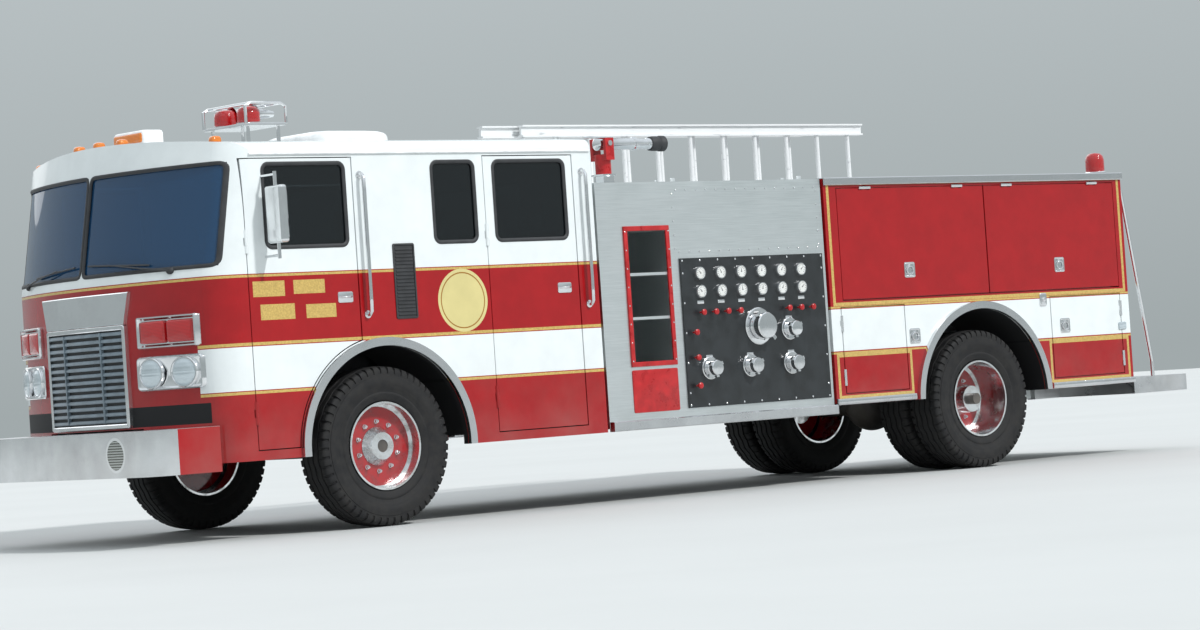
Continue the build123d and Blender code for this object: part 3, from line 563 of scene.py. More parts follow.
def cast(name, colour):
    """Rough cast metal with darker patches."""
    r = Recipe(name)
    spread = r.ramp(r.noise(9.0, detail=6.0), 0.35, 0.7)
    r.give(Base_Color=r.mix(spread, colour, shade(colour, 0.6)), Metallic=0.55,
           Roughness=r.blend(spread, 0.42, 0.7))
    r.relief(r.noise(120.0, detail=4.0), 0.4, 0.0012)
    return r.material


def ladder_paint(name):
    """White enamel on the beams, worn to bare aluminium on the rungs and in scuffs."""
    r = Recipe(name)
    scuff = r.ramp(r.noise(16.0, (0.4, 3.0, 3.0), detail=7.0), 0.62, 0.72)
    white = r.mix(r.noise(4.0), (0.80, 0.81, 0.81), (0.86, 0.87, 0.87))
    r.give(Base_Color=r.mix(scuff, white, (0.60, 0.61, 0.62)),
           Metallic=r.math("MULTIPLY", scuff, 0.8), Roughness=r.blend(scuff, 0.30, 0.45),
           Coat_Weight=r.blend(scuff, 0.5, 0.0))
    r.relief(r.noise(150.0), 0.05, 0.0006)
    return r.material


def mirror_face(name):
    """Silvered glass with a faint film."""
    r = Recipe(name)
    film = r.ramp(r.noise(8.0, detail=5.0), 0.4, 0.8)
    r.give(Base_Color=r.mix(film, (0.82, 0.85, 0.88), (0.70, 0.72, 0.74)), Metallic=1.0,
           Roughness=r.blend(film, 0.01, 0.08))
    return r.material


def gauge_card(name):
    """The pale card of a gauge under its clear glass."""
    r = Recipe(name)
    fade = r.ramp(r.noise(30.0), 0.3, 0.7)
    r.give(Base_Color=r.mix(fade, (0.78, 0.79, 0.77), (0.70, 0.70, 0.66)),
           Roughness=r.blend(fade, 0.25, 0.35), Coat_Weight=1.0)
    return r.material


# ---------------------------------------------------------------- shapes

def outline(half_a, half_b, corner, count=7):
    """A rounded rectangle round the origin: four quarter circles of the corner radius, joined."""
    turn = np.linspace(0, pi / 2, count)
    start = np.repeat(np.arange(4) * pi / 2, count)
    angle = np.tile(turn, 4) + start
    signs = np.repeat(((1, 1), (-1, 1), (-1, -1), (1, -1)), count, axis=0)
    middle = signs * (half_a - corner, half_b - corner)
    return middle + np.stack([np.cos(angle), np.sin(angle)], axis=-1) * corner


def spin(points, angle):
    """A flat outline turned by an angle."""
    c, s = np.cos(angle), np.sin(angle)
    return points @ np.array(((c, s), (-s, c)))


def dense(edge, step=0.04):
    """An outline with points added along its long sides, so that it can follow a curve."""
    rows = []
    for a, b in zip(edge, np.roll(edge, -1, axis=0)):
        count = max(1, int(np.linalg.norm(b - a) / step))
        rows += [a + (b - a) * i / count for i in range(count)]
    return np.array(rows)


def moulding(edge, profile):
    """A profile carried round an outline. Point (i, j) lies profile[j][0] inside edge point i,
    along the inward normal there, and profile[j][1] above the outline's plane."""
    edge = np.asarray(edge, float)
    ahead = np.roll(edge, -1, axis=0) - np.roll(edge, 1, axis=0)
    ahead /= np.linalg.norm(ahead, axis=1, keepdims=True)
    inward = np.stack([-ahead[:, 1], ahead[:, 0]], axis=-1)
    profile = np.asarray(profile, float)
    flat = edge[:, None, :] + inward[:, None, :] * profile[None, :, 0, None]
    height = np.broadcast_to(profile[None, :, 1, None], flat.shape[:2] + (1,))
    return np.concatenate([flat, height], axis=-1)


def plate(half_a, half_b, corner, thick, round_off=0.004):
    """A flat plate with a rounded outline and rounded upper edges."""
    r = min(round_off, thick * 0.6)
    rows = [(0.0, -0.001), (0.0, thick - r), (r * 0.3, thick - r * 0.3), (r, thick)]
    return moulding(outline(half_a, half_b, corner), rows)


def mound(half_a, half_b, corner, rows, count=10):
    """A low form whose outline shrinks as it rises; rows are (share of the outline, height)."""
    edge = outline(half_a, half_b, corner, count)
    rings = [np.concatenate([edge * share, np.full((4 * count, 1), height)], axis=-1)
             for share, height in rows]
    return np.stack(rings, axis=1)


def turned(profile, count=24):
    """A profile of (radius, height) turned round the height axis."""
    profile = np.asarray(profile, float)
    turn = np.arange(count)[:, None] * 2 * pi / count
    radius = profile[None, :, 0]
    height = np.broadcast_to(profile[None, :, 1], (count, len(profile)))
    return np.stack([np.cos(turn) * radius, np.sin(turn) * radius, height], axis=-1)


def domed(half, rise, count=8):
    """A rivet or screw head: a low dome on a round foot."""
    swing = np.linspace(0, pi / 2, 4)[:-1]
    dome = [(half * np.cos(a), rise * (0.3 + 0.7 * np.sin(a))) for a in swing]
    return turned([(half, 0)] + dome + [(half * 0.12, rise)], count)


def rod(path, radius, count=10, lean=(0, 0, 1)):
    """A round bar along a path: each ring is square to the path, and starts at the side that is
    square to both the path and the leaning direction. The radius may differ along the path."""
    path = np.asarray(path, float)
    along = np.gradient(path, axis=0)
    along /= np.linalg.norm(along, axis=1, keepdims=True)
    first = np.cross(along, lean)
    first /= np.linalg.norm(first, axis=1, keepdims=True)
    second = np.cross(along, first)
    turn = np.arange(count)[:, None, None] * 2 * pi / count
    spread = np.cos(turn) * first + np.sin(turn) * second
    radii = np.broadcast_to(np.asarray(radius, float), (len(path),))
    return path[None] + spread * radii[None, :, None]


def bar_on(start, end, radius, count=8):
    """A straight round bar between two points."""
    length = np.linalg.norm(np.subtract(end, start))
    lean = (0, 0, 1) if abs(end[2] - start[2]) < 0.9 * length else (0, 1, 0)
    return rod(np.linspace(start, end, 3), radius, count, lean)


def loop_rod(path, radius, count=8):
    """A round bar along a closed path that lies nearly flat: each ring is spread over the path's
    sideways direction in its plane and over the height."""
    ahead = np.roll(path, -1, axis=0) - np.roll(path, 1, axis=0)
    ahead /= np.linalg.norm(ahead, axis=1, keepdims=True)
    upward = np.array((0, 0, 1.0))
    sideways = np.cross(ahead, upward)
    sideways /= np.linalg.norm(sideways, axis=1, keepdims=True)
    turn = np.arange(count)[None, :, None] * 2 * pi / count
    return path[:, None] + (np.cos(turn) * sideways[:, None] + np.sin(turn) * upward) * radius


def strip(run, section, sign=1):
    """A straight moulding: point (i, j) is run[j], sign times section[i][0], section[i][1]."""
    section = np.asarray(section, float)
    shape = (len(section), len(run))
    return np.stack([np.broadcast_to(np.asarray(run)[None], shape),
                     sign * np.broadcast_to(section[:, None, 0], shape),
                     np.broadcast_to(section[:, None, 1], shape)], axis=-1)


def bow_at(y):
    """How far the front stands out at a distance from the middle: an arc through both corners."""
    return CAB_BOW - BOW_R + sqrt(max(BOW_R ** 2 - y ** 2, 0.0))


def roof_at(y):
    """Height of the arched roof at this distance from the middle."""
    return CROWN_Z - 0.08 * (y / HALF_WIDTH) ** 2


def on_side(sign, face=HALF_WIDTH):
    """Places (x, z, height) on the vehicle's left or right, with height outwards from a face."""
    return lambda p: np.stack([p[..., 0], sign * (face + p[..., 2]), p[..., 1]], axis=-1)


def on_back(face):
    """Places (y, z, height) on a face that looks back."""
    return lambda p: np.stack([face - p[..., 2], p[..., 0], p[..., 1]], axis=-1)


def on_front(face, y=0.0, z=0.0):
    """Places (across, up, height) on a face that looks forward, from a point of it."""
    return lambda p: np.stack([face + p[..., 2], y + p[..., 0], z + p[..., 1]], axis=-1)


def upright(x, y, base):
    """Places (radius circle, height) round an upright line."""
    return lambda p: np.stack([x + p[..., 0], y + p[..., 1], base + p[..., 2]], axis=-1)


def on_screen(p):
    """Places (y, z, height) on the bowed and leaning front of the cab, with its rounded corners."""
    bow = CAB_FRONT + CAB_BOW - BOW_R + np.sqrt(BOW_R ** 2 - p[..., 0] ** 2)
    reach = np.clip(np.abs(p[..., 0]) - (HALF_WIDTH - CORNER_R), 0, CORNER_R * 0.99)
    corner = CORNER_R - np.sqrt(CORNER_R ** 2 - reach ** 2)
    x = bow - SCREEN_LEAN * np.maximum(p[..., 1] - BELT_Z, 0) + p[..., 2] - corner
    return np.stack([x, p[..., 0], p[..., 1]], axis=-1)


class Piece:
    """Gathers grids of points, then makes them one object that rides on a body."""

    def __init__(self, name):
        self.name = name
        self.points = []
        self.quads = []
        self.lids = []
        self.count = 0

    def add(self, grid, place=None, at=None, ring=True, loop=False, lids=True):
        """Adds a grid of points, closed round its first side and, for a loop, its second; with rows
        of places in at, one copy is set at each of them."""
        grid = np.asarray(grid, float)
        rows, columns = grid.shape[:2]
        index = np.arange(rows * columns).reshape(rows, columns)
        if ring:
            index = np.concatenate([index, index[:1]], axis=0)
        if loop:
            index = np.concatenate([index, index[:, :1]], axis=1)
        corners = [index[:-1, :-1], index[1:, :-1], index[1:, 1:], index[:-1, 1:]]
        quads = np.stack(corners, axis=-1).reshape(-1, 4)
        spots = np.zeros((1, 3)) if at is None else np.asarray(at, float)
        copies = spots[:, None, :] + grid.reshape(1, -1, 3)
        copies = place(copies) if place else copies
        starts = self.count + np.arange(len(spots)) * rows * columns
        self.points.append(copies.reshape(-1, 3))
        self.quads.append((quads[None] + starts[:, None, None]).reshape(-1, 4))
        if lids and ring and not loop:
            for end in (0, columns - 1):
                self.lids += (index[:rows, end][None] + starts[:, None]).tolist()
        self.count += len(spots) * rows * columns

    def finish(self, body, slot, look=None, sharp=38.0, merge=0.0):
        """Makes the mesh, with its faces outwards and its edges sharp over an angle, in the finish
        of its slot or in another look."""
        mesh = bpy.data.meshes.new(self.name)
        faces = np.concatenate(self.quads).tolist() + self.lids
        mesh.from_pydata(np.concatenate(self.points).tolist(), [], faces)
        work = bmesh.new()
        work.from_mesh(mesh)
        if merge:
            bmesh.ops.remove_doubles(work, verts=work.verts, dist=merge)
        bmesh.ops.recalc_face_normals(work, faces=work.faces)
        work.to_mesh(mesh)
        work.free()
        mesh.shade_smooth()
        mesh.set_sharp_from_angle(angle=radians(sharp))
        mesh.materials.append(FINISHES[look or slot])
        piece = bpy.data.objects.new(self.name, mesh)
        bpy.context.collection.objects.link(piece)
        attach(piece, body)
        return piece


# ---------------------------------------------------------------- sizes a user may change

def colour_property(name, description, default):
    """A colour that a user may change."""
    return FloatVectorProperty(name=name, description=description, default=default,
                               subtype="COLOR", size=3)


def length_property(name, description, default):
    """A length in metres that a user may change."""
    return FloatProperty(name=name, description=description, default=default, unit="LENGTH")


class PaintColours(bpy.types.PropertyGroup):
    """Colours of the paint and the glass."""
    red: colour_property("Red", "Crimson of the body", (0.37, 0.005, 0.008))
    white: colour_property("White", "White of the cab top and the stripe", (0.80, 0.84, 0.84))
    gold: colour_property("Gold", "Gold of the thin lines, bars and roundel", (0.80, 0.55, 0.17))
    roundel: colour_property("Roundel", "Pale gold of the round plate on the cab's sides",
                             (0.86, 0.74, 0.33))
    side_glass: colour_property("Side glass", "Tint of the side windows", (0.045, 0.060, 0.068))
    screen_glass: colour_property("Windscreen", "Tint of the windscreen", (0.020, 0.095, 0.22))


class TyreSizes(bpy.types.PropertyGroup):
    """Sizes of the tyres' tread and of the wheel nuts."""
    groove: length_property("Groove depth", "Depth of the tread grooves", 0.014)
    blocks: IntProperty(name="Shoulder blocks", description="Number of blocks round each shoulder",
                        default=54)
    swing: length_property("Zigzag", "How far the grooves swing to each side", 0.006)
    nut_circle: length_property("Nut circle", "Radius of the circle of the wheel nuts", 0.165)


class TrimSizes(bpy.types.PropertyGroup):
    """Sizes of seals, rivets and small fittings."""
    seal: length_property("Seal width", "Width of the rubber round a window", 0.026)
    rivet: length_property("Rivet radius", "Radius of a rivet head", 0.006)
    pan: length_property("Handle pan", "Side of a locker's square handle pan", 0.115)


class SeatSizes(bpy.types.PropertyGroup):
    """Sizes of the seat cushions."""
    crown: length_property("Crown", "How far a cushion swells between its seams", 0.018)
    channels: IntProperty(name="Channels", description="Sewn channels across each cushion",
                          default=4)


class StudioSizes(bpy.types.PropertyGroup):
    """Sizes and colours of the studio."""
    floor_half: length_property("Floor half size", "Half the side of the floor", 60.0)
    floor_colour: colour_property("Floor colour", "Colour of the floor", (0.60, 0.61, 0.60))
    sky_strength: FloatProperty(name="Sky strength", default=0.85,
                                description="Strength of the studio's even light")


# ---------------------------------------------------------------- finishes on the frame

FINISHES = {}


def slot_of(node):
    """The material slot that the record gives a node."""
    return next(row["material_slot"] for row in frame["record"]["subparts"] if row["node"] == node)


def coat(piece, look):
    """Puts one finish on every material slot of an object."""
    for place in piece.material_slots:
        place.material = FINISHES[look]


class PaintOperator(bpy.types.Operator):
    """Gives each CAD node the finish of its material slot"""
    bl_idname = "pumper.paint"
    bl_label = "Paint and metal"

    def execute(self, context):
        colours = context.scene.pumper_colours
        FINISHES.update({
            "red_white_paint": vehicle_paint("red_white_paint", colours),
            "frame_paint": satin("frame_paint", (0.016, 0.016, 0.017), 0.45, 140.0, 0.8),
            "polished_steel": brushed("polished_steel", colours),
            "bright_chrome": bright("bright_chrome", (0.82, 0.83, 0.84)),
            "treadplate": treadplate("treadplate"),
            "tyre_rubber": rubber("tyre_rubber"),
            "rim_paint": wheel_paint("rim_paint", colours),
            "black_panel": crackle("black_panel"),
            "clear_glass": window_glass("clear_glass", colours),
            "lamp_glass": lamp_glass("lamp_glass"),
            "red_lens": lens("red_lens", (0.52, 0.010, 0.012), 0.12),
            "amber_lens": lens("amber_lens", (0.85, 0.24, 0.02), 0.15),
            "white_unit": satin("white_unit", (0.74, 0.76, 0.76), 0.32, 300.0),
            "dark_trim": satin("dark_trim", (0.022, 0.023, 0.025), 0.55, 420.0),
            "seat_vinyl": vinyl("seat_vinyl", (0.030, 0.033, 0.040)),
            "cast_iron": cast("cast_iron", (0.19, 0.19, 0.20)),
            "white_ladder": ladder_paint("white_ladder"),
            "deck_metal": bright("deck_metal", (0.70, 0.71, 0.72), 0.16, deck=True),
            "bumper": bumper_finish(colours),
            "turret_red": satin("turret_red", (0.36, 0.008, 0.010), 0.25, 90.0),
            "slat_metal": satin("slat_metal", (0.15, 0.19, 0.22), 0.28, 60.0, 0.4),
            "mirror_glass": mirror_face("mirror_glass"),
            "gauge_scale": gauge_card("gauge_scale"),
        })
        for row in frame["record"]["subparts"]:
            coat(frame["nodes"][row["node"]], row["material_slot"])
        for node, look in (("arch_trims", "deck_metal"), ("front_bumper", "bumper"),
                           ("gun_turret", "turret_red")):
            coat(frame["nodes"][node], look)
        return {"FINISHED"}


# ---------------------------------------------------------------- the cab's bowed front

class BowOperator(bpy.types.Operator):
    """Bows the cab's front, and what is fixed to it, round an arc through both corners"""
    bl_idname = "pumper.bow"
    bl_label = "Bowed front"

    def execute(self, context):
        for name in ("cab_shell", "cab_glass", "dashboard"):
            mesh = frame["nodes"][name].data.copy()
            mesh.name = name + "_bowed"
            work = bmesh.new()
            work.from_mesh(mesh)
            cuts = [((x, 0, 0), (1, 0, 0)) for x in BOW_RAMP]
            cuts += [((0, y, 0), (0, 1, 0)) for y in BOW_CUTS]
            for place, normal in cuts:
                faces = [f for f in work.faces
                         if max(v.co.x for v in f.verts) > BOW_RAMP[0] - 0.001]
                edges = list({e for f in faces for e in f.edges})
                points = list({v for f in faces for v in f.verts})
                bmesh.ops.bisect_plane(work, geom=points + edges + faces, dist=1e-5,
                                       plane_co=place, plane_no=normal)
            for point in work.verts:
                share = (point.co.x - BOW_RAMP[0]) / (BOW_RAMP[1] - BOW_RAMP[0])
                point.co.x += bow_at(point.co.y) * min(max(share, 0.0), 1.0)
            work.to_mesh(mesh)
            work.free()
            mesh.shade_smooth()
            mesh.set_sharp_from_angle(angle=radians(30))
            piece = bpy.data.objects.new(name + "_bowed", mesh)
            bpy.context.collection.objects.link(piece)
            coat(piece, slot_of(name))
            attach(piece, "chassis")
            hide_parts(name)
        return {"FINISHED"}


# ---------------------------------------------------------------- wheels

# How far from the vehicle's middle the wheel nuts sit, and how many there are on a wheel
NUT_FACES = {"front": 1.0853, "rear": 0.9053}
NUT_COUNT = 10

# The tread's grooves: their places across it, and half their width at the top and at the bottom
GROOVES = (-0.082, -0.028, 0.028, 0.082)
GROOVE_TOP = 0.0072
GROOVE_FOOT = 0.0050

# Depth of the shoulders' notches towards the axle and towards the tyre's middle
NOTCH = (0.011, 0.006)

# Half of a tyre's section from the bead to the shoulder, as distance from the tyre's middle and
# radius; the last points belong to the shoulder, which is notched
SIDEWALL = [(-0.106, 0.298), (-0.120, 0.300), (-0.128, 0.312), (-0.130, 0.330), (-0.1345, 0.340),
            (-0.1345, 0.352), (-0.132, 0.356), (-0.1385, 0.385), (-0.1405, 0.389), (-0.1405, 0.401),
            (-TYRE_HALF + 0.003, 0.404), (-TYRE_HALF, 0.425), (-TYRE_HALF, 0.440),
            (-TYRE_HALF + 0.002, 0.462), (-TYRE_HALF + 0.005, 0.4635), (-TYRE_HALF + 0.006, 0.476)]
SHOULDER = [(-TYRE_HALF + 0.005, 0.482), (-TYRE_HALF + 0.006, 0.496), (-TYRE_HALF + 0.010, 0.510),
            (-TYRE_HALF + 0.017, 0.519), (-TYRE_HALF + 0.024, 0.5225)]


def tyre_grid(middle, axle_x, sizes):
    """One tyre. Its section runs from one bead over sidewall, shoulder and tread to the other bead.
    Grooves are lowered columns of the section that swing sideways in a triangle wave as they go
    round, and each shoulder is notched where the angle's fraction of a block lies in its first
    third."""
    side = [(*point, 0) for point in SIDEWALL] + [(*point, 1) for point in SHOULDER]
    top = []
    for groove in GROOVES:
        top += [(groove - GROOVE_TOP, 0.0), (groove - GROOVE_FOOT, sizes.groove),
                (groove + GROOVE_FOOT, sizes.groove), (groove + GROOVE_TOP, 0.0)]
    tread = [(w, TYRE_R - 0.010 * (w / TYRE_HALF) ** 2 - depth, 2) for w, depth in top]
    tread = [(w, radius - 0.0003, kind) for w, radius, kind in tread]
    section = np.array(side + tread + [(-w, radius, kind) for w, radius, kind in reversed(side)])
    cuts = np.array([0.0, 0.06, 0.27, 0.33, 0.68])
    phase = (np.arange(sizes.blocks)[:, None] + cuts[None]).ravel()
    angle = phase / sizes.blocks * 2 * pi
    part = phase % 1.0
    notch = ((part > 0.03) & (part < 0.30)).astype(float)
    wave = np.abs(2 * ((phase * 0.5) % 1.0) - 1) * 2 - 1
    w = section[None, :, 0] + wave[:, None] * sizes.swing * (section[None, :, 2] == 2)
    lower = (section[None, :, 2] == 1) * notch[:, None]
    radius = section[None, :, 1] - lower * NOTCH[0]
    w = w - np.sign(w) * lower * NOTCH[1]
    return np.stack([axle_x + np.cos(angle)[:, None] * radius, middle + w,
                     TYRE_R + np.sin(angle)[:, None] * radius], axis=-1)


class TyresOperator(bpy.types.Operator):
    """Moulds the six tyres, with grooved tread, notched shoulders and ribbed sidewalls"""
    bl_idname = "pumper.tyres"
    bl_label = "Tyres"

    def execute(self, context):
        sizes = context.scene.pumper_tyres
        for side in ("left", "right"):
            for end, node, axle_x in (("front", "tyre_front_", FRONT_AXLE_X),
                                      ("rear", "tyres_rear_", REAR_AXLE_X)):
                low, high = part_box(node + side)
                tread = Piece("tread_" + end + "_" + side)
                middles = (low[1] + TYRE_HALF, high[1] - TYRE_HALF)
                for middle in middles if end == "rear" else middles[:1]:
                    tread.add(tyre_grid(middle, axle_x, sizes), loop=True)
                done = tread.finish("wheel_" + end + "_" + side, "tyre_rubber")
                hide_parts(node + side)
        return {"FINISHED"}


class NutsOperator(bpy.types.Operator):
    """Sets ten nuts with their washers and studs on each wheel"""
    bl_idname = "pumper.nuts"
    bl_label = "Wheel nuts"

    def execute(self, context):
        circle = context.scene.pumper_tyres.nut_circle
        nut = turned([(0.0165, 0.0), (0.0165, 0.003), (0.0135, 0.0032), (0.0138, 0.017),
                      (0.0115, 0.0205), (0.0075, 0.0208), (0.0070, 0.030), (0.0040, 0.0315)], 6)
        turn = np.arange(NUT_COUNT) * 2 * pi / NUT_COUNT + pi / NUT_COUNT
        for side, sign in SIDES:
            for end, axle_x, radius in (("front", FRONT_AXLE_X, circle),
                                        ("rear", REAR_AXLE_X, circle + 0.006)):
                spots = np.stack([axle_x + np.cos(turn) * radius, TYRE_R + np.sin(turn) * radius,
                                  0 * turn], axis=-1)
                piece = Piece("wheel_nuts_" + end + "_" + side)
                piece.add(nut, on_side(sign, NUT_FACES[end]), spots)
                piece.finish("wheel_" + end + "_" + side, "bright_chrome", sharp=25)
        return {"FINISHED"}


# ---------------------------------------------------------------- windows

# Side windows: name, where they begin and end from the front axle, and the body that they ride on
SIDE_WINDOWS = [("front", 0.24, 0.89, "door_front_"), ("crew", -1.65, -1.02, "door_crew_"),
                ("middle", -0.85, -0.49, None)]
WINDOW_Z = 2.13
WINDOW_HALF = 0.27
WINDOW_CORNER = 0.045
REAR_WINDOW = (0.5, 0.2)
REAR_WINDOW_Z = 2.10

# The windscreen's panes as y and z, and the wipers' pivots on it
PANE_Y = (0.015, 1.175)
PANE_Z = (1.763, 2.417)
WIPER_PIVOT = (0.86, 1.752)

# Mirror glasses, as half height and z, their half width, and how far they are inside the head
MIRROR_GLASSES = ((0.105, 2.120), (0.048, 1.945))
MIRROR_HALF = 0.078
MIRROR_INSET = 0.0925


def seal_profile(width):
    """A rubber section: flat under the panel's face, rounded above it, a little wider outside."""
    half = width / 2
    return [(-half, -0.002), (-half, 0.0025), (-half * 0.6, 0.0052), (0.0, 0.0058),
            (half * 0.55, 0.0040), (half, -0.001), (half, -0.007), (0.0, -0.007)]


def screen_edge(sign):
    """Outline of one windscreen pane in y and z, with its corners rounded by running averages along
    the resampled edge."""
    y = np.linspace(*PANE_Y, 60)
    z = PANE_Z[0] + np.linspace(0, 1, 40)[1:-1] * (PANE_Z[1] - PANE_Z[0])
    sides = [np.stack([y, np.full_like(y, PANE_Z[0])], axis=-1),
             np.stack([np.full_like(z, PANE_Y[1]), z], axis=-1),
             np.stack([y, np.full_like(y, PANE_Z[1])], axis=-1)[::-1],
             np.stack([np.full_like(z, PANE_Y[0]), z[::-1]], axis=-1)]
    edge = np.concatenate(sides)
    step = np.linalg.norm(np.roll(edge, -1, axis=0) - edge, axis=1)
    run = np.concatenate([[0], np.cumsum(step)])
    closed = np.concatenate([edge, edge[:1]])
    even = np.linspace(0, run[-1], 241)[:-1]
    edge = np.stack([np.interp(even, run, closed[:, i]) for i in (0, 1)], axis=-1)
    weights = np.hanning(11)[1:-1] / np.hanning(11)[1:-1].sum()
    padded = np.concatenate([edge[-4:], edge, edge[:4]])
    edge = np.stack([np.convolve(padded[:, i], weights, "valid") for i in (0, 1)], axis=-1)
    return edge if sign > 0 else (edge * (-1, 1))[::-1]


class SealsOperator(bpy.types.Operator):
    """Lays a rubber seal round every window of the cab"""
    bl_idname = "pumper.seals"
    bl_label = "Window seals"

    def execute(self, context):
        profile = seal_profile(context.scene.pumper_trim.seal)
        for side, sign in SIDES:
            for name, back, front, door in SIDE_WINDOWS:
                edge = outline((front - back) / 2, WINDOW_HALF, WINDOW_CORNER)
                piece = Piece("seal_" + name + "_" + side)
                piece.add(moulding(edge, profile), on_side(sign),
                          [(FRONT_AXLE_X + (back + front) / 2, WINDOW_Z, 0)], loop=True)
                piece.finish(door + side if door else "chassis", "dark_trim")
        rear = Piece("seal_rear")
        rear.add(moulding(outline(*REAR_WINDOW, WINDOW_CORNER), profile), on_back(CAB_REAR),
                 [(0, REAR_WINDOW_Z, 0)], loop=True)
        rear.finish("chassis", "dark_trim")
        screen = Piece("seal_windscreen")
        for sign in (1, -1):
            screen.add(moulding(screen_edge(sign), profile), on_screen, loop=True)
        screen.finish("chassis", "dark_trim")
        return {"FINISHED"}


class WipersOperator(bpy.types.Operator):
    """Makes the two windscreen wipers, parked along the bottom of the glass"""
    bl_idname = "pumper.wipers"
    bl_label = "Wipers"

    def execute(self, context):
        piece = Piece("wipers")
        t = np.linspace(0, 1, 15)
        pivot = WIPER_PIVOT
        cap = turned([(0.024, -0.004), (0.024, 0.012), (0.018, 0.022), (0.008, 0.026)], 16)
        for sign in (1, -1):
            arm = np.stack([sign * (pivot[0] - 0.55 * t), pivot[1] + 0.075 * t,
                            0.020 + 0.010 * np.sin(pi * t)], axis=-1)
            blade = np.stack([sign * (0.68 - 0.60 * t), 1.800 + 0.035 * t, 0.006 + 0 * t], axis=-1)
            piece.add(rod(arm, 0.007 - 0.003 * t, 8), on_screen)
            piece.add(rod(blade, 0.006, 8), on_screen)
            piece.add(cap, on_screen, [(sign * pivot[0], pivot[1], 0)])
        piece.finish("chassis", "dark_trim")
        return {"FINISHED"}


class MirrorGlassOperator(bpy.types.Operator):
    """Sets a tall and a low mirror glass into the back of each mirror head"""
    bl_idname = "pumper.mirror_glass"
    bl_label = "Mirror glass"

    def execute(self, context):
        rim = [(0.0, -0.001), (0.0, 0.0022), (0.004, 0.0034), (0.008, 0.0026), (0.010, 0.0026)]
        for side, sign in SIDES:
            low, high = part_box("mirror_" + side)
            middle = max(abs(low[1]), abs(high[1])) - MIRROR_INSET
            piece = Piece("mirror_glass_" + side)
            for half, z in MIRROR_GLASSES:
                piece.add(moulding(outline(MIRROR_HALF, half, 0.022), rim), on_back(low[0]),
                          [(sign * middle, z, 0)])
            piece.finish("door_front_" + side, "bright_chrome", "mirror_glass")
        return {"FINISHED"}


# ---------------------------------------------------------------- lockers

# The handles of the locker doors: node, x from the front axle and z
LOCKER_HANDLES = [("bay_upper_front", -5.01, 1.54), ("bay_upper_rear", -6.70, 1.53),
                  ("bay_lower_front", -5.02, 1.04), ("bay_lower_rear", -6.72, 1.05)]

# The lamp near each rear corner and the latch over the wheel, as x and z
SIDE_LAMP = (FRONT_AXLE_X - 7.40, 1.02)
FENDER_LATCH = (FRONT_AXLE_X - 6.48, 1.262)

# The lockers' rooms: where they begin and end from the body's rear, floor and height of the tracks
LOCKER_ROOMS = [(0.145, 1.575, 1.3652, 0.74), (1.665, 3.175, 1.3652, 0.74),
                (0.145, 0.890, 0.6752, 0.53), (2.610, 3.205, 0.6752, 0.53)]


class HandlesOperator(bpy.types.Operator):
    """Fits each locker door with a square pan and a folding ring, and the side with a lamp and a
    latch over the wheel"""
    bl_idname = "pumper.handles"
    bl_label = "Locker handles"

    def execute(self, context):
        half = context.scene.pumper_trim.pan / 2
        pan = moulding(outline(half, half, 0.016), [
            (0.0, -0.001), (0.0, 0.003), (0.003, 0.0045), (0.010, 0.0045), (0.013, 0.0030),
            (0.015, 0.0010)])
        swing = np.linspace(0, 2 * pi, 33)[:-1]
        ring = np.stack([0.034 * np.cos(swing), 0.030 * np.sin(swing) - 0.004,
                         0.0072 + 0.0015 * np.cos(swing) ** 2], axis=-1)
        hub = turned([(0.010, 0.0), (0.010, 0.008), (0.007, 0.0105)], 14)
        cover = moulding(outline(0.045, 0.030, 0.012), [(0.0, -0.001), (0.0, 0.006), (0.004, 0.011),
                                                        (0.010, 0.012)])
        case = moulding(outline(0.040, 0.050, 0.014), [(0.0, -0.001), (0.0, 0.006), (0.005, 0.010),
                                                       (0.012, 0.0105)])
        button = turned([(0.017, 0.009), (0.017, 0.018), (0.012, 0.021)], 20)
        latch_spot = [(*FENDER_LATCH, 0)]
        for side, sign in SIDES:
            place = on_side(sign)
            for name, along, z in LOCKER_HANDLES:
                x = FRONT_AXLE_X + along
                piece = Piece("handle_" + name + "_" + side)
                piece.add(pan, place, [(x, z, 0)])
                piece.add(loop_rod(ring, 0.0042), place, [(x, z, 0)], loop=True)
                piece.add(hub, place, [(x, z + 0.028, 0)])
                piece.finish(name + "_" + side, "bright_chrome")
            lamp = Piece("side_lamp_" + side)
            lamp.add(cover, place, [(*SIDE_LAMP, 0)])
            lamp.finish("chassis", "lamp_glass")
            latch = Piece("fender_latch_" + side)
            latch.add(case, place, latch_spot)
            latch.add(button, place, latch_spot)
            latch.finish("chassis", "bright_chrome")
        return {"FINISHED"}


# ---------------------------------------------------------------- pump panel

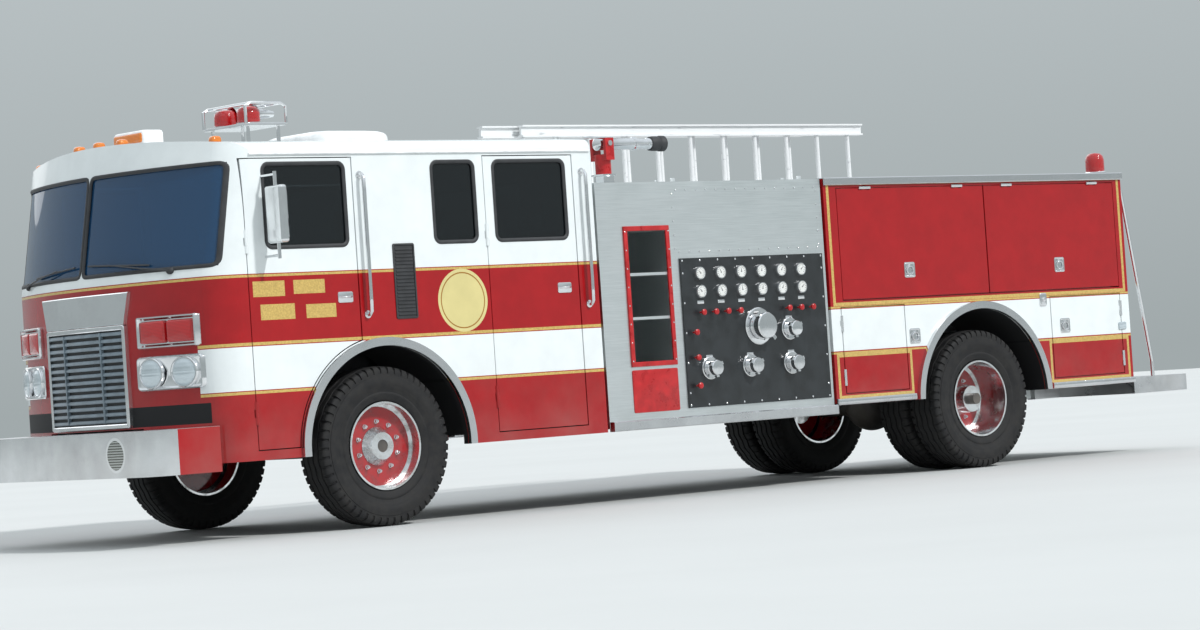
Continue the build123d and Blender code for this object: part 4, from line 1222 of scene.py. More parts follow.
class GaugesOperator(bpy.types.Operator):
    """Puts a pale scale with ticks and a needle into each gauge of the pump panels"""
    bl_idname = "pumper.gauges"
    bl_label = "Gauges"

    def execute(self, context):
        face = GAUGE_R * 0.80
        card = turned([(face, 0.0), (face, 0.0012), (face * 0.96, 0.0018), (face * 0.3, 0.0018)],
                      32)
        tick = outline(face * 0.035, face * 0.11, face * 0.01, 2)
        hand = outline(face * 0.035, face * 0.34, face * 0.03, 2) + (0, face * 0.24)
        cap = turned([(face * 0.1, 0.001), (face * 0.1, 0.0045), (face * 0.05, 0.0052)], 12)
        for side, sign in SIDES:
            scale = Piece("gauge_scales_" + side)
            marks = Piece("gauge_marks_" + side)
            place = on_side(sign, HALF_WIDTH + 0.0222)
            gauges = [(x, z, 0.8 - 0.3 * i) for z in GAUGE_Z for i, x in enumerate(GAUGE_X)]
            for x, z, needle in gauges:
                scale.add(card, place, [(x, z, 0)])
                for angle in np.linspace(-2.3, 2.3, 11):
                    spot = (x + np.sin(angle) * face * 0.78, z + np.cos(angle) * face * 0.78, 0)
                    marks.add(moulding(spin(tick, -angle), [(0.0, 0.0), (0.0, 0.0026)]), place,
                              [spot])
                marks.add(moulding(spin(hand, needle), [(0.0, 0.001), (0.0, 0.0038)]), place,
                          [(x, z, 0)])
                marks.add(cap, place, [(x, z, 0)])
            scale.finish("chassis", "white_unit", "gauge_scale")
            marks.finish("chassis", "dark_trim")
        return {"FINISHED"}


class LabelsOperator(bpy.types.Operator):
    """Fixes blank label plates and screws to the pump panels"""
    bl_idname = "pumper.labels"
    bl_label = "Label plates"

    def execute(self, context):
        label = moulding(outline(0.032, 0.011, 0.003, 3),
                         [(0.0, 0.0), (0.0, 0.0016), (0.001, 0.0022)])
        labels = [(x, 1.372, 0) for x in GAUGE_X] + [(x, z + 0.082, 0) for x, z in DISCHARGES]
        labels += [(INTAKE[0], INTAKE[1] + 0.122, 0)]
        front, length, foot, height = FRONT_AXLE_X - 2.68, 1.415, 0.625, 1.065
        along = [front - a * length for a in np.linspace(0.012, 0.988, 9)]
        screws = [(x, foot + b * height, 0) for x in along for b in (0.016, 0.984)]
        screws += [(x, foot + b * height, 0) for x in (along[0], along[-1])
                   for b in np.linspace(0.10, 0.90, 5)]
        for side, sign in SIDES:
            piece = Piece("panel_plates_" + side)
            piece.add(label, on_side(sign, PANEL_FACE), labels)
            piece.add(domed(0.0075, 0.003, 10), on_side(sign, PANEL_FACE), screws)
            piece.finish("chassis", "polished_steel", "bright_chrome")
        return {"FINISHED"}


class RivetsOperator(bpy.types.Operator):
    """Sets rows of rivets round the module's upper plates, beside the trays and on the rub rails"""
    bl_idname = "pumper.rivets"
    bl_label = "Rivets"

    def execute(self, context):
        head = domed(context.scene.pumper_trim.rivet, 0.0028)
        ends = (FRONT_AXLE_X - 4.078, FRONT_AXLE_X - 2.650)
        rows = [(x, z, -0.007) for x in np.arange(FRONT_AXLE_X - 4.06, FRONT_AXLE_X - 2.66, 0.098)
                for z in (1.738, 2.178)]
        rows += [(x, z, -0.007) for x in ends for z in np.arange(1.76, 2.17, 0.098)]
        rail = [(x, z, 0.0198) for x in np.arange(BODY_REAR + 0.06, BODY_REAR + 0.96, 0.11)
                for z in (0.572, 0.598)]
        trays = [(x, z, 0.002) for x in (TRAY_X[0] - 0.022, TRAY_X[1] + 0.022)
                 for z in np.arange(0.98, 1.90, 0.13)]
        for side, sign in SIDES:
            piece = Piece("rivets_" + side)
            for spots in (rows, rail, trays):
                piece.add(head, on_side(sign), spots)
            piece.finish("chassis", "bright_chrome")
        return {"FINISHED"}


# ---------------------------------------------------------------- lamps and units

# The framed warning lamps on the nose, the lamp bar on the roof with the top of its tray and of its
# hoops, and the beacons at the rear
NOSE_LAMP = (0.825, 1.365)
BAR_X = 3.86
BAR_Y = 0.82
BAR_TRAY_Z = 2.668
BAR_TOP_Z = 2.812
BEACON = (BODY_REAR + 0.12, 1.08)


class LampsOperator(bpy.types.Operator):
    """Makes the warning lamps: framed ones on the nose, a lamp bar on the roof, domes at the rear"""
    bl_idname = "pumper.lamps"
    bl_label = "Warning lamps"

    def execute(self, context):
        frames = Piece("warning_frames")
        lenses = Piece("warning_lenses")
        rim = [(0.0, -0.004), (0.0, 0.030), (0.006, 0.040), (0.014, 0.040), (0.020, 0.022),
               (0.026, 0.014)]
        glass = moulding(outline(0.098, 0.072, 0.016), [(0.0, 0.010), (0.0, 0.024), (0.006, 0.034),
                                                        (0.015, 0.038)])
        for sign in (1, -1):
            frames.add(moulding(outline(0.235, 0.105, 0.018), rim), on_screen,
                       [(sign * NOSE_LAMP[0], NOSE_LAMP[1], 0)])
            for shift in (0.108, -0.108):
                lenses.add(glass, on_screen, [(sign * (NOSE_LAMP[0] + shift), NOSE_LAMP[1], 0)])
        dome = turned([(0.074, 0.0), (0.076, 0.010), (0.076, 0.090), (0.070, 0.120), (0.052, 0.142),
                       (0.020, 0.150)], 28)
        foot = turned([(0.090, -0.010), (0.090, 0.018), (0.080, 0.028), (0.074, 0.030)], 28)
        for sign in (1, -1):
            frames.add(foot, upright(BEACON[0], sign * BEACON[1], DECK_Z))
            lenses.add(dome, upright(BEACON[0], sign * BEACON[1], DECK_Z + 0.028))
        frames.add(plate(0.165, 0.250, 0.030, 0.016), upright(BAR_X, BAR_Y, BAR_TRAY_Z))
        for x in (BAR_X - 0.12, BAR_X + 0.12):
            for y in (BAR_Y - 0.20, BAR_Y + 0.20):
                leg = ((x, y, roof_at(y) - 0.04), (x, y, BAR_TRAY_Z + 0.01))
                frames.add(bar_on(*leg, 0.013))
        half_hoop = [(-0.16, BAR_TRAY_Z + 0.012), (-0.16, BAR_TOP_Z - 0.020), (-0.12, BAR_TOP_Z)]
        hoop = half_hoop + [(-shift, z) for shift, z in reversed(half_hoop)]
        for y in (BAR_Y - 0.24, BAR_Y + 0.24):
            frames.add(rod([(BAR_X + shift, y, z) for shift, z in hoop], 0.011, 8, (0, 1, 0)))
        for x in (BAR_X + 0.12, BAR_X - 0.12):
            frames.add(bar_on((x, BAR_Y - 0.24, BAR_TOP_Z - 0.001),
                              (x, BAR_Y + 0.24, BAR_TOP_Z - 0.001), 0.010))
        for y in (BAR_Y - 0.13, BAR_Y + 0.13):
            frames.add(foot * (0.95, 0.95, 0.5), upright(BAR_X + 0.06, y, BAR_TRAY_Z + 0.014))
            lenses.add(dome * (1.0, 1.0, 0.72), upright(BAR_X + 0.06, y, BAR_TRAY_Z + 0.024))
        horn = turned([(0.020, 0.0), (0.030, 0.06), (0.042, 0.12), (0.062, 0.155), (0.070, 0.160),
                       (0.060, 0.150), (0.02, 0.10)], 24)
        for y in (BAR_Y - 0.12, BAR_Y + 0.12):
            frames.add(horn, on_front(BAR_X - 0.14, y, BAR_TRAY_Z + 0.082))
        frames = frames.finish("chassis", "bright_chrome")
        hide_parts("warning_lamps")
        lenses.finish("chassis", "red_lens")
        return {"FINISHED"}


class RoofOperator(bpy.types.Operator):
    """Makes the low roof dome and the box lamp between the marker lamps"""
    bl_idname = "pumper.roof"
    bl_label = "Roof units"

    def execute(self, context):
        units = Piece("roof_forms")
        swell = [(1.0, -0.050), (1.0, 0.028), (0.985, 0.048), (0.95, 0.063), (0.86, 0.076),
                 (0.68, 0.085), (0.40, 0.089), (0.12, 0.090)]
        units.add(mound(0.35, 0.35, 0.16, swell), upright(2.60, 0, CROWN_Z))
        units.add(plate(0.085, 0.185, 0.030, 0.105, 0.02), upright(4.15, 0, CROWN_Z))
        units = units.finish("chassis", "white_unit", sharp=50)
        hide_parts("roof_units")
        glass = Piece("roof_box_lens")
        rim = [(0.0, -0.002), (0.0, 0.004), (0.005, 0.009), (0.012, 0.011)]
        glass.add(moulding(outline(0.165, 0.032, 0.014), rim), on_front(4.235, z=CROWN_Z + 0.055))
        glass.finish("chassis", "amber_lens")
        return {"FINISHED"}


# ---------------------------------------------------------------- nose

# The grille's middle and half sizes, the span of its slats, the foot of its header, and the
# headlamps' places in their bezels
GRILLE_Z = 1.095
GRILLE_HALF = (0.47, 0.335)
SLAT_Z = (0.79, 1.40)
SLAT_COUNT = 14
HEADER_Z = (1.432, 1.640)
HEADLAMP_Z = 1.10
HEADLAMP_Y = (0.69, 0.95)
MARKER_Y = (-1.05, -0.26, 0, 0.26, 1.05)


class NoseOperator(bpy.types.Operator):
    """Makes the grille with its frame, slats and header, the headlamps in their bezels, and the
    marker lamps along the roof's front edge"""
    bl_idname = "pumper.nose"
    bl_label = "Nose"

    def execute(self, context):
        forms = Piece("grille_forms")
        rim = [(0.0, -0.006), (0.0, 0.026), (0.004, 0.031), (0.024, 0.031), (0.030, 0.026),
               (0.030, 0.004)]
        forms.add(moulding(dense(outline(*GRILLE_HALF, 0.020)), rim), on_screen, [(0, GRILLE_Z, 0)],
                  loop=True)
        foot, top = HEADER_Z
        header = [(foot, -0.004), (foot, 0.022), (foot + 0.004, 0.027), (top - 0.006, 0.027),
                  (top, 0.022), (top, -0.004)]
        flare = strip(np.linspace(-1, 1, 27), header)
        flare[..., 0] *= 0.465 + 0.055 * (flare[..., 1] - foot) / (top - foot)
        forms.add(flare, on_screen)
        self.make_slats()
        bezel = [(0.0, -0.006), (0.0, 0.020), (0.006, 0.028), (0.012, 0.028), (0.018, 0.022),
                 (0.024, 0.020)]
        cup = turned([(0.101, 0.019), (0.101, 0.034), (0.097, 0.040), (0.090, 0.040),
                      (0.086, 0.030)], 40)
        glass = turned([(0.089, 0.018), (0.089, 0.032), (0.076, 0.040), (0.046, 0.046),
                        (0.012, 0.048)], 40)
        lamps = Piece("headlamp_lenses")
        for sign in (1, -1):
            forms.add(moulding(dense(outline(0.26, 0.11, 0.030)), bezel), on_screen,
                      [(sign * sum(HEADLAMP_Y) / 2, HEADLAMP_Z, 0)])
            for y in HEADLAMP_Y:
                forms.add(cup, on_screen, [(sign * y, HEADLAMP_Z, 0)], loop=True)
                lamps.add(glass, on_screen, [(sign * y, HEADLAMP_Z, 0)])
        whole = forms.finish("chassis", "bright_chrome", sharp=30)
        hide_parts("grille")
        whole = lamps.finish("chassis", "lamp_glass", sharp=50)
        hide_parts("headlamps")
        dark = Piece("grille_back")
        y = np.linspace(-0.47, 0.47, 25) * 0.95
        dark.add(strip(y, [(SLAT_Z[0], -0.004), (SLAT_Z[0], 0.005), (SLAT_Z[1], 0.005),
                           (SLAT_Z[1], -0.004)]), on_screen)
        dark.finish("chassis", "dark_trim")
        lights = Piece("marker_forms")
        low = mound(0.038, 0.030, 0.020, [(1.0, -0.012), (1.0, 0.012), (0.94, 0.024), (0.78, 0.032),
                                          (0.45, 0.036)], 5)
        for y in MARKER_Y:
            lights.add(low, upright(4.185 + bow_at(y), y, roof_at(y)))
        lights = lights.finish("chassis", "amber_lens", sharp=50)
        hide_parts("marker_lamps")
        return {"FINISHED"}

    def make_slats(self):
        """The grille's level blades, and the two thin posts that hold them."""
        slats = Piece("grille_slats")
        pitch = (SLAT_Z[1] - SLAT_Z[0]) / SLAT_COUNT
        for z in SLAT_Z[0] + (np.arange(SLAT_COUNT) + 0.5) * pitch:
            blade = [(z - 0.010, 0.006), (z - 0.012, 0.022), (z - 0.006, 0.027), (z + 0.010, 0.020),
                     (z + 0.013, 0.006)]
            slats.add(strip(np.linspace(-0.442, 0.442, 25), blade), on_screen)
        low, high = SLAT_Z[0] + 0.01, SLAT_Z[1] - 0.01
        for post in (-0.22, 0.22):
            upstand = [(low, 0.004), (low, 0.029), (high, 0.029), (high, 0.004)]
            slats.add(strip((post - 0.006, post + 0.006), upstand), on_screen)
        slats.finish("chassis", "polished_steel", "slat_metal")


# ---------------------------------------------------------------- ladders and deck gun

# Each ladder's y, back and front end and half width, and the heights of its two beams
LADDER_ROWS = ((-1.095, -3.10, 0.33, 0.035), (-1.0075, -3.70, 0.0, 0.0325))
LADDER_BEAMS = ((2.30, 2.392), (2.768, 2.86))
RUNG_PITCH = 0.356
BRACKET_X = (-2.90, -1.50, -0.10)
GUN_X = 0.06
GUN_Z = 2.62


class LaddersOperator(bpy.types.Operator):
    """Makes the two ladders with channel rails, and the brackets that carry them"""
    bl_idname = "pumper.ladders"
    bl_label = "Ladders"

    def execute(self, context):
        piece = Piece("ladder_forms")
        shoe = turned([(0.026, 0.0), (0.026, 0.010), (0.019, 0.014)], 14)
        for y, back, front, half in LADDER_ROWS:
            for low, high in LADDER_BEAMS:
                web = half * 0.35
                section = [(-half, low), (half, low), (half, low + 0.012), (web, low + 0.016),
                           (web, high - 0.016), (half, high - 0.012), (half, high), (-half, high),
                           (-half, high - 0.012), (-web, high - 0.016), (-web, low + 0.016),
                           (-half, low + 0.012)]
                piece.add(strip((back, front), [(y + a, b) for a, b in section]))
            for i in range(int((front - back) / RUNG_PITCH)):
                x = back + 0.16 + i * RUNG_PITCH
                piece.add(bar_on((x, y, 2.380), (x, y, 2.780), 0.019, 14))
                piece.add(shoe, upright(x, y, 2.384))
        piece = piece.finish("chassis", "white_ladder")
        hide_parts("ladders")
        arms = Piece("ladder_brackets")
        for x in BRACKET_X:
            arms.add(plate(0.030, 0.105, 0.006, 0.058), upright(x, -1.055, DECK_Z + 0.001))
            arms.add(plate(0.045, 0.125, 0.006, 0.008), upright(x, -1.055, DECK_Z + 0.0005))
            for y in (-1.148, -0.962):
                arms.add(plate(0.025, 0.006, 0.003, 0.14), upright(x, y, DECK_Z + 0.050))
        arms.finish("chassis", "polished_steel")
        return {"FINISHED"}


class DeckGunOperator(bpy.types.Operator):
    """Makes the deck gun's pipe with its stream shaper, nozzle and tiller"""
    bl_idname = "pumper.deck_gun"
    bl_label = "Deck gun"

    def execute(self, context):
        def back(p):
            """Places (across, up, distance backwards) along the gun."""
            return np.stack([GUN_X - p[..., 2], p[..., 0], GUN_Z + p[..., 1]], axis=-1)

        pipe = Piece("gun_pipe")
        pipe.add(turned([
            (0.030, -0.060), (0.050, -0.050), (0.050, 0.080), (0.044, 0.090), (0.044, 0.30),
            (0.052, 0.305), (0.052, 0.325), (0.044, 0.33), (0.038, 0.44), (0.044, 0.445),
            (0.044, 0.47), (0.034, 0.48)], 28), back)
        pipe.add(rod([(GUN_X, y, GUN_Z) for y in (-0.100, 0, 0.100)], 0.020, 20))
        pipe.add(rod([(0.04, 0.030, 2.64), (0.10, 0.060, 2.66), (0.24, 0.075, 2.665),
                      (0.30, 0.075, 2.66)], 0.009, 10))
        pipe = pipe.finish("gun_barrel", "bright_chrome")
        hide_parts("gun_barrel")
        tip = Piece("gun_nozzle")
        tip.add(turned([
            (0.036, 0.465), (0.052, 0.475), (0.056, 0.50), (0.056, 0.545), (0.050, 0.56),
            (0.060, 0.575), (0.060, 0.612), (0.050, 0.620), (0.040, 0.612), (0.030, 0.56)], 28),
            back)
        tip.finish("gun_barrel", "dark_trim")
        return {"FINISHED"}


# ---------------------------------------------------------------- trim

# Sections of the long strips, as distance outwards and height
DECK_LIP = [(0.570, 2.2402), (0.570, 2.246), (1.246, 2.246), (1.252, 2.240), (1.252, 2.196),
            (1.246, 2.190), (1.2402, 2.190), (1.2402, 2.236), (1.236, 2.2402)]
RUB_RAIL = [(1.229, 0.560), (1.248, 0.563), (1.252, 0.570), (1.252, 0.600), (1.248, 0.607),
            (1.229, 0.610)]
RUNNING_BOARD = [(1.215, 0.500), (1.262, 0.500), (1.268, 0.506), (1.268, 0.562), (1.262, 0.568),
                 (1.215, 0.568)]
GUTTER = [(1.226, 2.462), (1.242, 2.458), (1.246, 2.464), (1.243, 2.472), (1.236, 2.470),
          (1.228, 2.476)]

# Flat frames round the trays and the plate under them, each as x, z, half length, half height,
# corner and thickness
TRAY_FRAMES = [(0.77, 0.9575, 0.215, 0.0175, 0.004, 0.012),
               (0.77, 1.9125, 0.215, 0.0175, 0.004, 0.012),
               (0.5725, 1.435, 0.0175, 0.46, 0.004, 0.012),
               (0.9675, 1.435, 0.0175, 0.46, 0.004, 0.012),
               (0.77, 0.768, 0.215, 0.150, 0.012, 0.006)]
LOUVRE = (2.94, 1.61)
DOOR_GRIPS = (("front", 3.44), ("crew", 1.56))
GRIP_Z = 1.52
RAIL_X = (3.266, 1.345)


class TrimOperator(bpy.types.Operator):
    """Adds the thin trim: deck edges, rub rails, running boards, gutters, tray frames, louvres,
    door grips and cab rails"""
    bl_idname = "pumper.trim_strips"
    bl_label = "Trim strips"

    def execute(self, context):
        for side, sign in SIDES:
            self.make_strips(side, sign)
            self.make_panels(side, on_side(sign))
            self.make_grips(side, on_side(sign))
        return {"FINISHED"}

    def make_strips(self, side, sign):
        """The long strips of one side, and the frames round its hose tray."""
        deck = Piece("deck_edge_" + side)
        deck.add(strip((BODY_REAR - 0.002, BODY_FRONT + 0.002), DECK_LIP, sign))
        deck.add(strip((BODY_REAR, REAR_AXLE_X - 0.772), RUB_RAIL, sign))
        deck.add(strip((REAR_AXLE_X + 0.772, BODY_FRONT), RUB_RAIL, sign))
        deck.add(strip((MODULE_BOX[0][0] + 0.004, CAB_REAR - 0.032), RUNNING_BOARD, sign))
        deck.finish("chassis", "polished_steel", "deck_metal")
        gutter = Piece("gutter_" + side)
        gutter.add(strip((CAB_REAR + 0.01, CAB_FRONT - 0.26), GUTTER, sign))
        gutter.finish("chassis", "red_white_paint", "white_unit")
        tray = Piece("tray_frame_" + side)
        for x, z, half_x, half_z, corner, thick in TRAY_FRAMES:
            tray.add(plate(half_x, half_z, corner, thick), on_side(sign, HALF_WIDTH - 0.010),
                     [(x, z, 0)])
        tray.finish("chassis", "red_white_paint", "turret_red")

    def make_panels(self, side, place):
        """The louvred panel behind the front wheel."""
        louvre = Piece("louvre_" + side)
        rim = [(0.0, -0.001), (0.0, 0.006), (0.006, 0.009), (0.012, 0.008), (0.014, 0.0015)]
        louvre.add(moulding(outline(0.090, 0.250, 0.014), rim), place, [(*LOUVRE, 0)])
        z = np.arange(LOUVRE[1] - 0.22, LOUVRE[1] + 0.23, 0.024)
        blade = moulding(outline(0.074, 0.008, 0.003, 3),
                         [(0.0, 0.001), (0.0, 0.004), (0.003, 0.0075)])
        louvre.add(blade, place, np.stack([LOUVRE[0] + 0 * z, z, 0 * z], axis=-1))
        louvre.finish("chassis", "dark_trim")

    def make_grips(self, side, place):
        """The doors' grips and the upright rails beside the doors."""
        t = np.linspace(0, 1, 9)
        for name, x in DOOR_GRIPS:
            grip = Piece("grip_" + name + "_" + side)
            grip.add(plate(0.062, 0.036, 0.014, 0.005), place, [(x, GRIP_Z, 0)])
            hoop = np.stack([x - 0.046 + 0.092 * t, GRIP_Z + 0 * t,
                             0.002 + 0.030 * np.sin(pi * t) ** 0.4], axis=-1)
            grip.add(rod(hoop, 0.0065, 10), place)
            grip.finish("door_" + name + "_" + side, "bright_chrome")
        rails = Piece("cab_rails_" + side)
        foot = turned([(0.026, -0.001), (0.026, 0.006), (0.016, 0.009)], 18)
        bend = [(1.40, 0), (1.40, 0.030), (1.42, 0.046), (1.50, 0.048), (2.22, 0.048), (2.30, 0.046),
                (2.32, 0.030), (2.32, 0)]
        for x in RAIL_X:
            rails.add(rod([(x, z, out) for z, out in bend], 0.014, 12, (1, 0, 0)), place)
            rails.add(foot, place, [(x, 1.40, 0), (x, 2.32, 0)])
        rails.finish("chassis", "bright_chrome")


# ---------------------------------------------------------------- pump fittings

# Places of the red pull handles on the left panel
PULLS = [(x, 1.30, 0) for x in (-0.78, -0.66, -0.54, -0.05, 0.07, 0.19, 0.31)]
PULLS += [(0.39, z, 0) for z in (0.78, 0.98, 1.16)]


class FittingsOperator(bpy.types.Operator):
    """Makes the discharges and the intake with their caps, the gauge bezels, the pull handles and
    the deck gun's base"""
    bl_idname = "pumper.fittings"
    bl_label = "Pump fittings"

    def execute(self, context):
        bezel = turned([(0.048, 0.0), (0.048, 0.018), (0.045, 0.0265), (0.041, 0.0265),
                        (0.039, 0.0215), (0.01, 0.0215)], 32)
        flange = turned([(0.082, 0.0), (0.082, 0.010), (0.076, 0.014), (0.050, 0.014)], 32)
        neck = turned([(0.050, 0.010), (0.050, 0.034), (0.046, 0.040), (0.046, 0.050),
                       (0.055, 0.052), (0.055, 0.084), (0.050, 0.090), (0.018, 0.092)], 32)
        big = turned([(0.135, 0.0), (0.135, 0.012), (0.128, 0.018), (0.092, 0.020), (0.088, 0.040),
                      (0.095, 0.044), (0.095, 0.100), (0.088, 0.108), (0.040, 0.110)], 44)
        piece = Piece("pump_fitting_forms")
        for sign in (1, -1):
            place = on_side(sign)
            piece.add(bezel, place, [(x, z, 0) for x in GAUGE_X for z in GAUGE_Z])
            rows = [(x, z, 0) for x, z in DISCHARGES]
            piece.add(flange, place, rows)
            piece.add(neck, place, rows)
            for turn in (0.5, 0.5 + 2 * pi / 3, 0.5 + 4 * pi / 3):
                lug = moulding(spin(outline(0.009, 0.013, 0.004, 3), turn),
                               [(0.0, 0.0), (0.0, 0.024)])
                piece.add(lug, place, [(x + 0.059 * np.cos(turn), z + 0.059 * np.sin(turn), 0.055)
                                       for x, z in DISCHARGES])
            piece.add(big, place, [(*INTAKE, 0)])
            for turn in (0.9, 0.9 + pi):
                lug = moulding(spin(outline(0.020, 0.015, 0.006, 4), turn),
                               [(0.0, 0.0), (0.0, 0.045)])
                piece.add(lug, place, [(INTAKE[0] + 0.108 * np.cos(turn),
                                        INTAKE[1] + 0.108 * np.sin(turn), 0.050)])
        base = turned([(0.105, -0.004), (0.105, 0.014), (0.080, 0.020), (0.080, 0.135),
                       (0.095, 0.140), (0.095, 0.150)], 32)
        piece.add(base, upright(GUN_X, 0, MODULE_BOX[1][2]))
        piece = piece.finish("chassis", "bright_chrome", sharp=30)
        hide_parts("pump_fittings")
        red = Piece("pump_handles")
        knob = turned([(0.006, 0.0), (0.006, 0.034), (0.020, 0.036), (0.022, 0.050),
                       (0.014, 0.056)], 18)
        red.add(knob, on_side(1), PULLS)
        red.finish("chassis", "red_white_paint", "turret_red")
        return {"FINISHED"}


# ---------------------------------------------------------------- hose bed and linings

class SlatsOperator(bpy.types.Operator):
    """Lays the hose bed's floor of rounded slats"""
    bl_idname = "pumper.slats"
    bl_label = "Bed slats"

    def execute(self, context):
        piece = Piece("bed_slats")
        y = np.arange(-0.528, 0.54, 0.088)
        section = [(-0.034, 0.0), (-0.034, 0.010), (-0.030, 0.014), (0.030, 0.014), (0.034, 0.010),
                   (0.034, 0.0)]
        run = np.linspace(BODY_REAR + 0.05, BODY_FRONT - 0.05, 3)
        piece.add(strip(run, section), at=np.stack([0 * y, y, 0 * y + 1.5002], axis=-1))
        piece.finish("chassis", "polished_steel", "bright_chrome")
        return {"FINISHED"}


class LockersOperator(bpy.types.Operator):
    """Lines each locker with a ribbed rubber mat and slotted channels, and sets dials in the dash"""
    bl_idname = "pumper.lockers"
    bl_label = "Locker lining"

    def execute(self, context):
        y = np.linspace(0.63, 1.15, 79)
        ribs = 0.0040 + 0.0022 * (np.arange(79) % 3 == 1)
        wide = np.concatenate([y, y[::-1]])
        for side, sign in SIDES:
            mats = Piece("locker_mats_" + side)
            tracks = Piece("locker_tracks_" + side)
            for back, front, floor, tall in LOCKER_ROOMS:
                back, front = BODY_REAR + back, BODY_REAR + front
                section = np.stack([wide, floor + np.concatenate([ribs, 0 * ribs])], axis=-1)
                mats.add(strip((back + 0.02, front - 0.02), section, sign))
                channel = moulding(outline(0.020, tall / 2 - 0.01, 0.003, 2), [
                    (0.0, 0.0), (0.0, 0.012), (0.009, 0.012), (0.009, 0.004)])
                tracks.add(channel, on_side(sign, 0.6102),
                           [(x, floor + tall / 2 + 0.005, 0) for x in (back + 0.10, front - 0.10)])
            mats.finish("chassis", "tyre_rubber")
            tracks.finish("chassis", "bright_chrome")
        dials = Piece("dash_dials")
        scale = turned([(0.052, -0.001), (0.052, 0.006), (0.047, 0.0075), (0.045, 0.003),
                        (0.02, 0.0028)], 28)
        small = turned([(0.028, -0.001), (0.028, 0.005), (0.025, 0.0062), (0.023, 0.003),
                        (0.01, 0.0028)], 20)
        dials.add(scale, on_back(DASH_X), [(0.735, 1.555, 0), (0.865, 1.555, 0)])
        dials.add(small, on_back(DASH_X), [(0.62 + 0.072 * i, 1.455, 0) for i in range(6)])
        dials.finish("chassis", "white_unit")
        return {"FINISHED"}


# ---------------------------------------------------------------- seats

# Each seat: name, x from the front axle, y and the height of the floor under it
SEATS = [("driver", 0.15, 0.80, 1.250), ("officer", 0.15, -0.80, 1.250),
         ("crew_left", -1.45, 0.80, 0.952), ("crew_right", -1.45, -0.80, 0.952)]


# Half sizes of the seat's cushion, back and headrest
CUSHION_HALF = (0.232, 0.243, 0.068)
BACK_HALF = (0.270, 0.240, 0.058)
HEADREST_HALF = (0.096, 0.138, 0.044)


def cushion(middle, half, tilt, sizes, upright_channels=False):
    """A crowned pad: a superellipsoid, whose sine and cosine are raised to a small power, so it is a
    box with rounded edges and swollen faces. Sewn channels are narrow dips, a bell curve across the
    pad, and a piping bead is a thin swelling round its middle."""
    u = np.linspace(-pi, pi, 121)[:-1]
    v = np.linspace(-pi / 2, pi / 2, 61)
    u, v = np.meshgrid(u, v, indexing="ij")

    def lift(value, power=0.34):
        """The size of the value raised to a power, with the value's sign."""
        return np.sign(value) * np.abs(value) ** power

    x = lift(np.cos(v)) * lift(np.cos(u))
    y = lift(np.cos(v)) * lift(np.sin(u))
    z = lift(np.sin(v), 0.55)
    bead = np.exp(-((np.abs(v) - 0.42) / 0.035) ** 2) * 0.008
    p = np.stack([x * (half[0] - 0.008 + bead), y * (half[1] - 0.008 + bead),
                  z * (half[2] - sizes.crown)], axis=-1)
    swell = np.clip(1 - x ** 4, 0, 1) * np.clip(1 - y ** 4, 0, 1) * (z > 0)
    rows = np.linspace(-0.6, 0.6, sizes.channels)
    across = y if upright_channels else x
    dips = np.exp(-((across[..., None] - rows) / 0.035) ** 2).sum(axis=-1)
    p[..., 2] += swell * sizes.crown - swell * dips * 0.010
    c, s = np.cos(tilt), np.sin(tilt)
    turned_x = p[..., 0] * c + p[..., 2] * s
    turned_z = -p[..., 0] * s + p[..., 2] * c
    return np.stack([turned_x + middle[0], p[..., 1] + middle[1], turned_z + middle[2]], axis=-1)


def make_pad(name, grid):
    """One padded piece, with its poles merged."""
    piece = Piece(name)
    piece.add(grid, lids=False)
    pad = piece.finish("chassis", "seat_vinyl", sharp=80, merge=0.0002)
    return pad


class SeatsOperator(bpy.types.Operator):
    """Upholsters the four seats: a sewn cushion, a back and a headrest on each, and a boxed foot"""
    bl_idname = "pumper.seats"
    bl_label = "Seats"

    def execute(self, context):
        sizes = context.scene.pumper_seats
        feet = Piece("seat_feet")
        for name, along, y, low in SEATS:
            x = FRONT_AXLE_X + along
            pad = make_pad("seat_cushion_" + name,
                           cushion((x + 0.005, y, 1.350), CUSHION_HALF, 0.0, sizes))
            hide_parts("cab_seats")
            make_pad("seat_back_" + name,
                     cushion((x - 0.230, y, 1.655), BACK_HALF, pi / 2, sizes))
            make_pad("seat_headrest_" + name,
                     cushion((x - 0.240, y, 2.032), HEADREST_HALF, pi / 2, sizes, True))
            feet.add(moulding(outline(0.17, 0.17, 0.03), [
                (0.0, low), (0.0, low + 0.010), (0.02, low + 0.016), (0.02, 1.270), (0.0, 1.284),
                (0.0, 1.292)]), at=[(x, y, 0)])
            for edge in (-0.062, 0.062):
                post = [(x - 0.240, y + edge, z) for z in np.linspace(1.88, 1.99, 4)]
                feet.add(rod(post, 0.007, 10, (1, 0, 0)))
        feet.finish("chassis", "dark_trim")
        return {"FINISHED"}


# ---------------------------------------------------------------- studio

# The sky's colours from the horizon up, each with the height at which it stands
SKY = ((0.0, (0.42, 0.47, 0.48, 1)), (0.16, (0.60, 0.66, 0.68, 1)), (0.75, (1.0, 1.08, 1.15, 1)))

# Each lamp: name, strength, turn and the angle over which its light is spread
LAMPS = [("key", 2.3, (0.85, 0.0, -2.872), 0.08), ("fill", 0.5, (1.0, 0.0, -0.2), 0.9)]


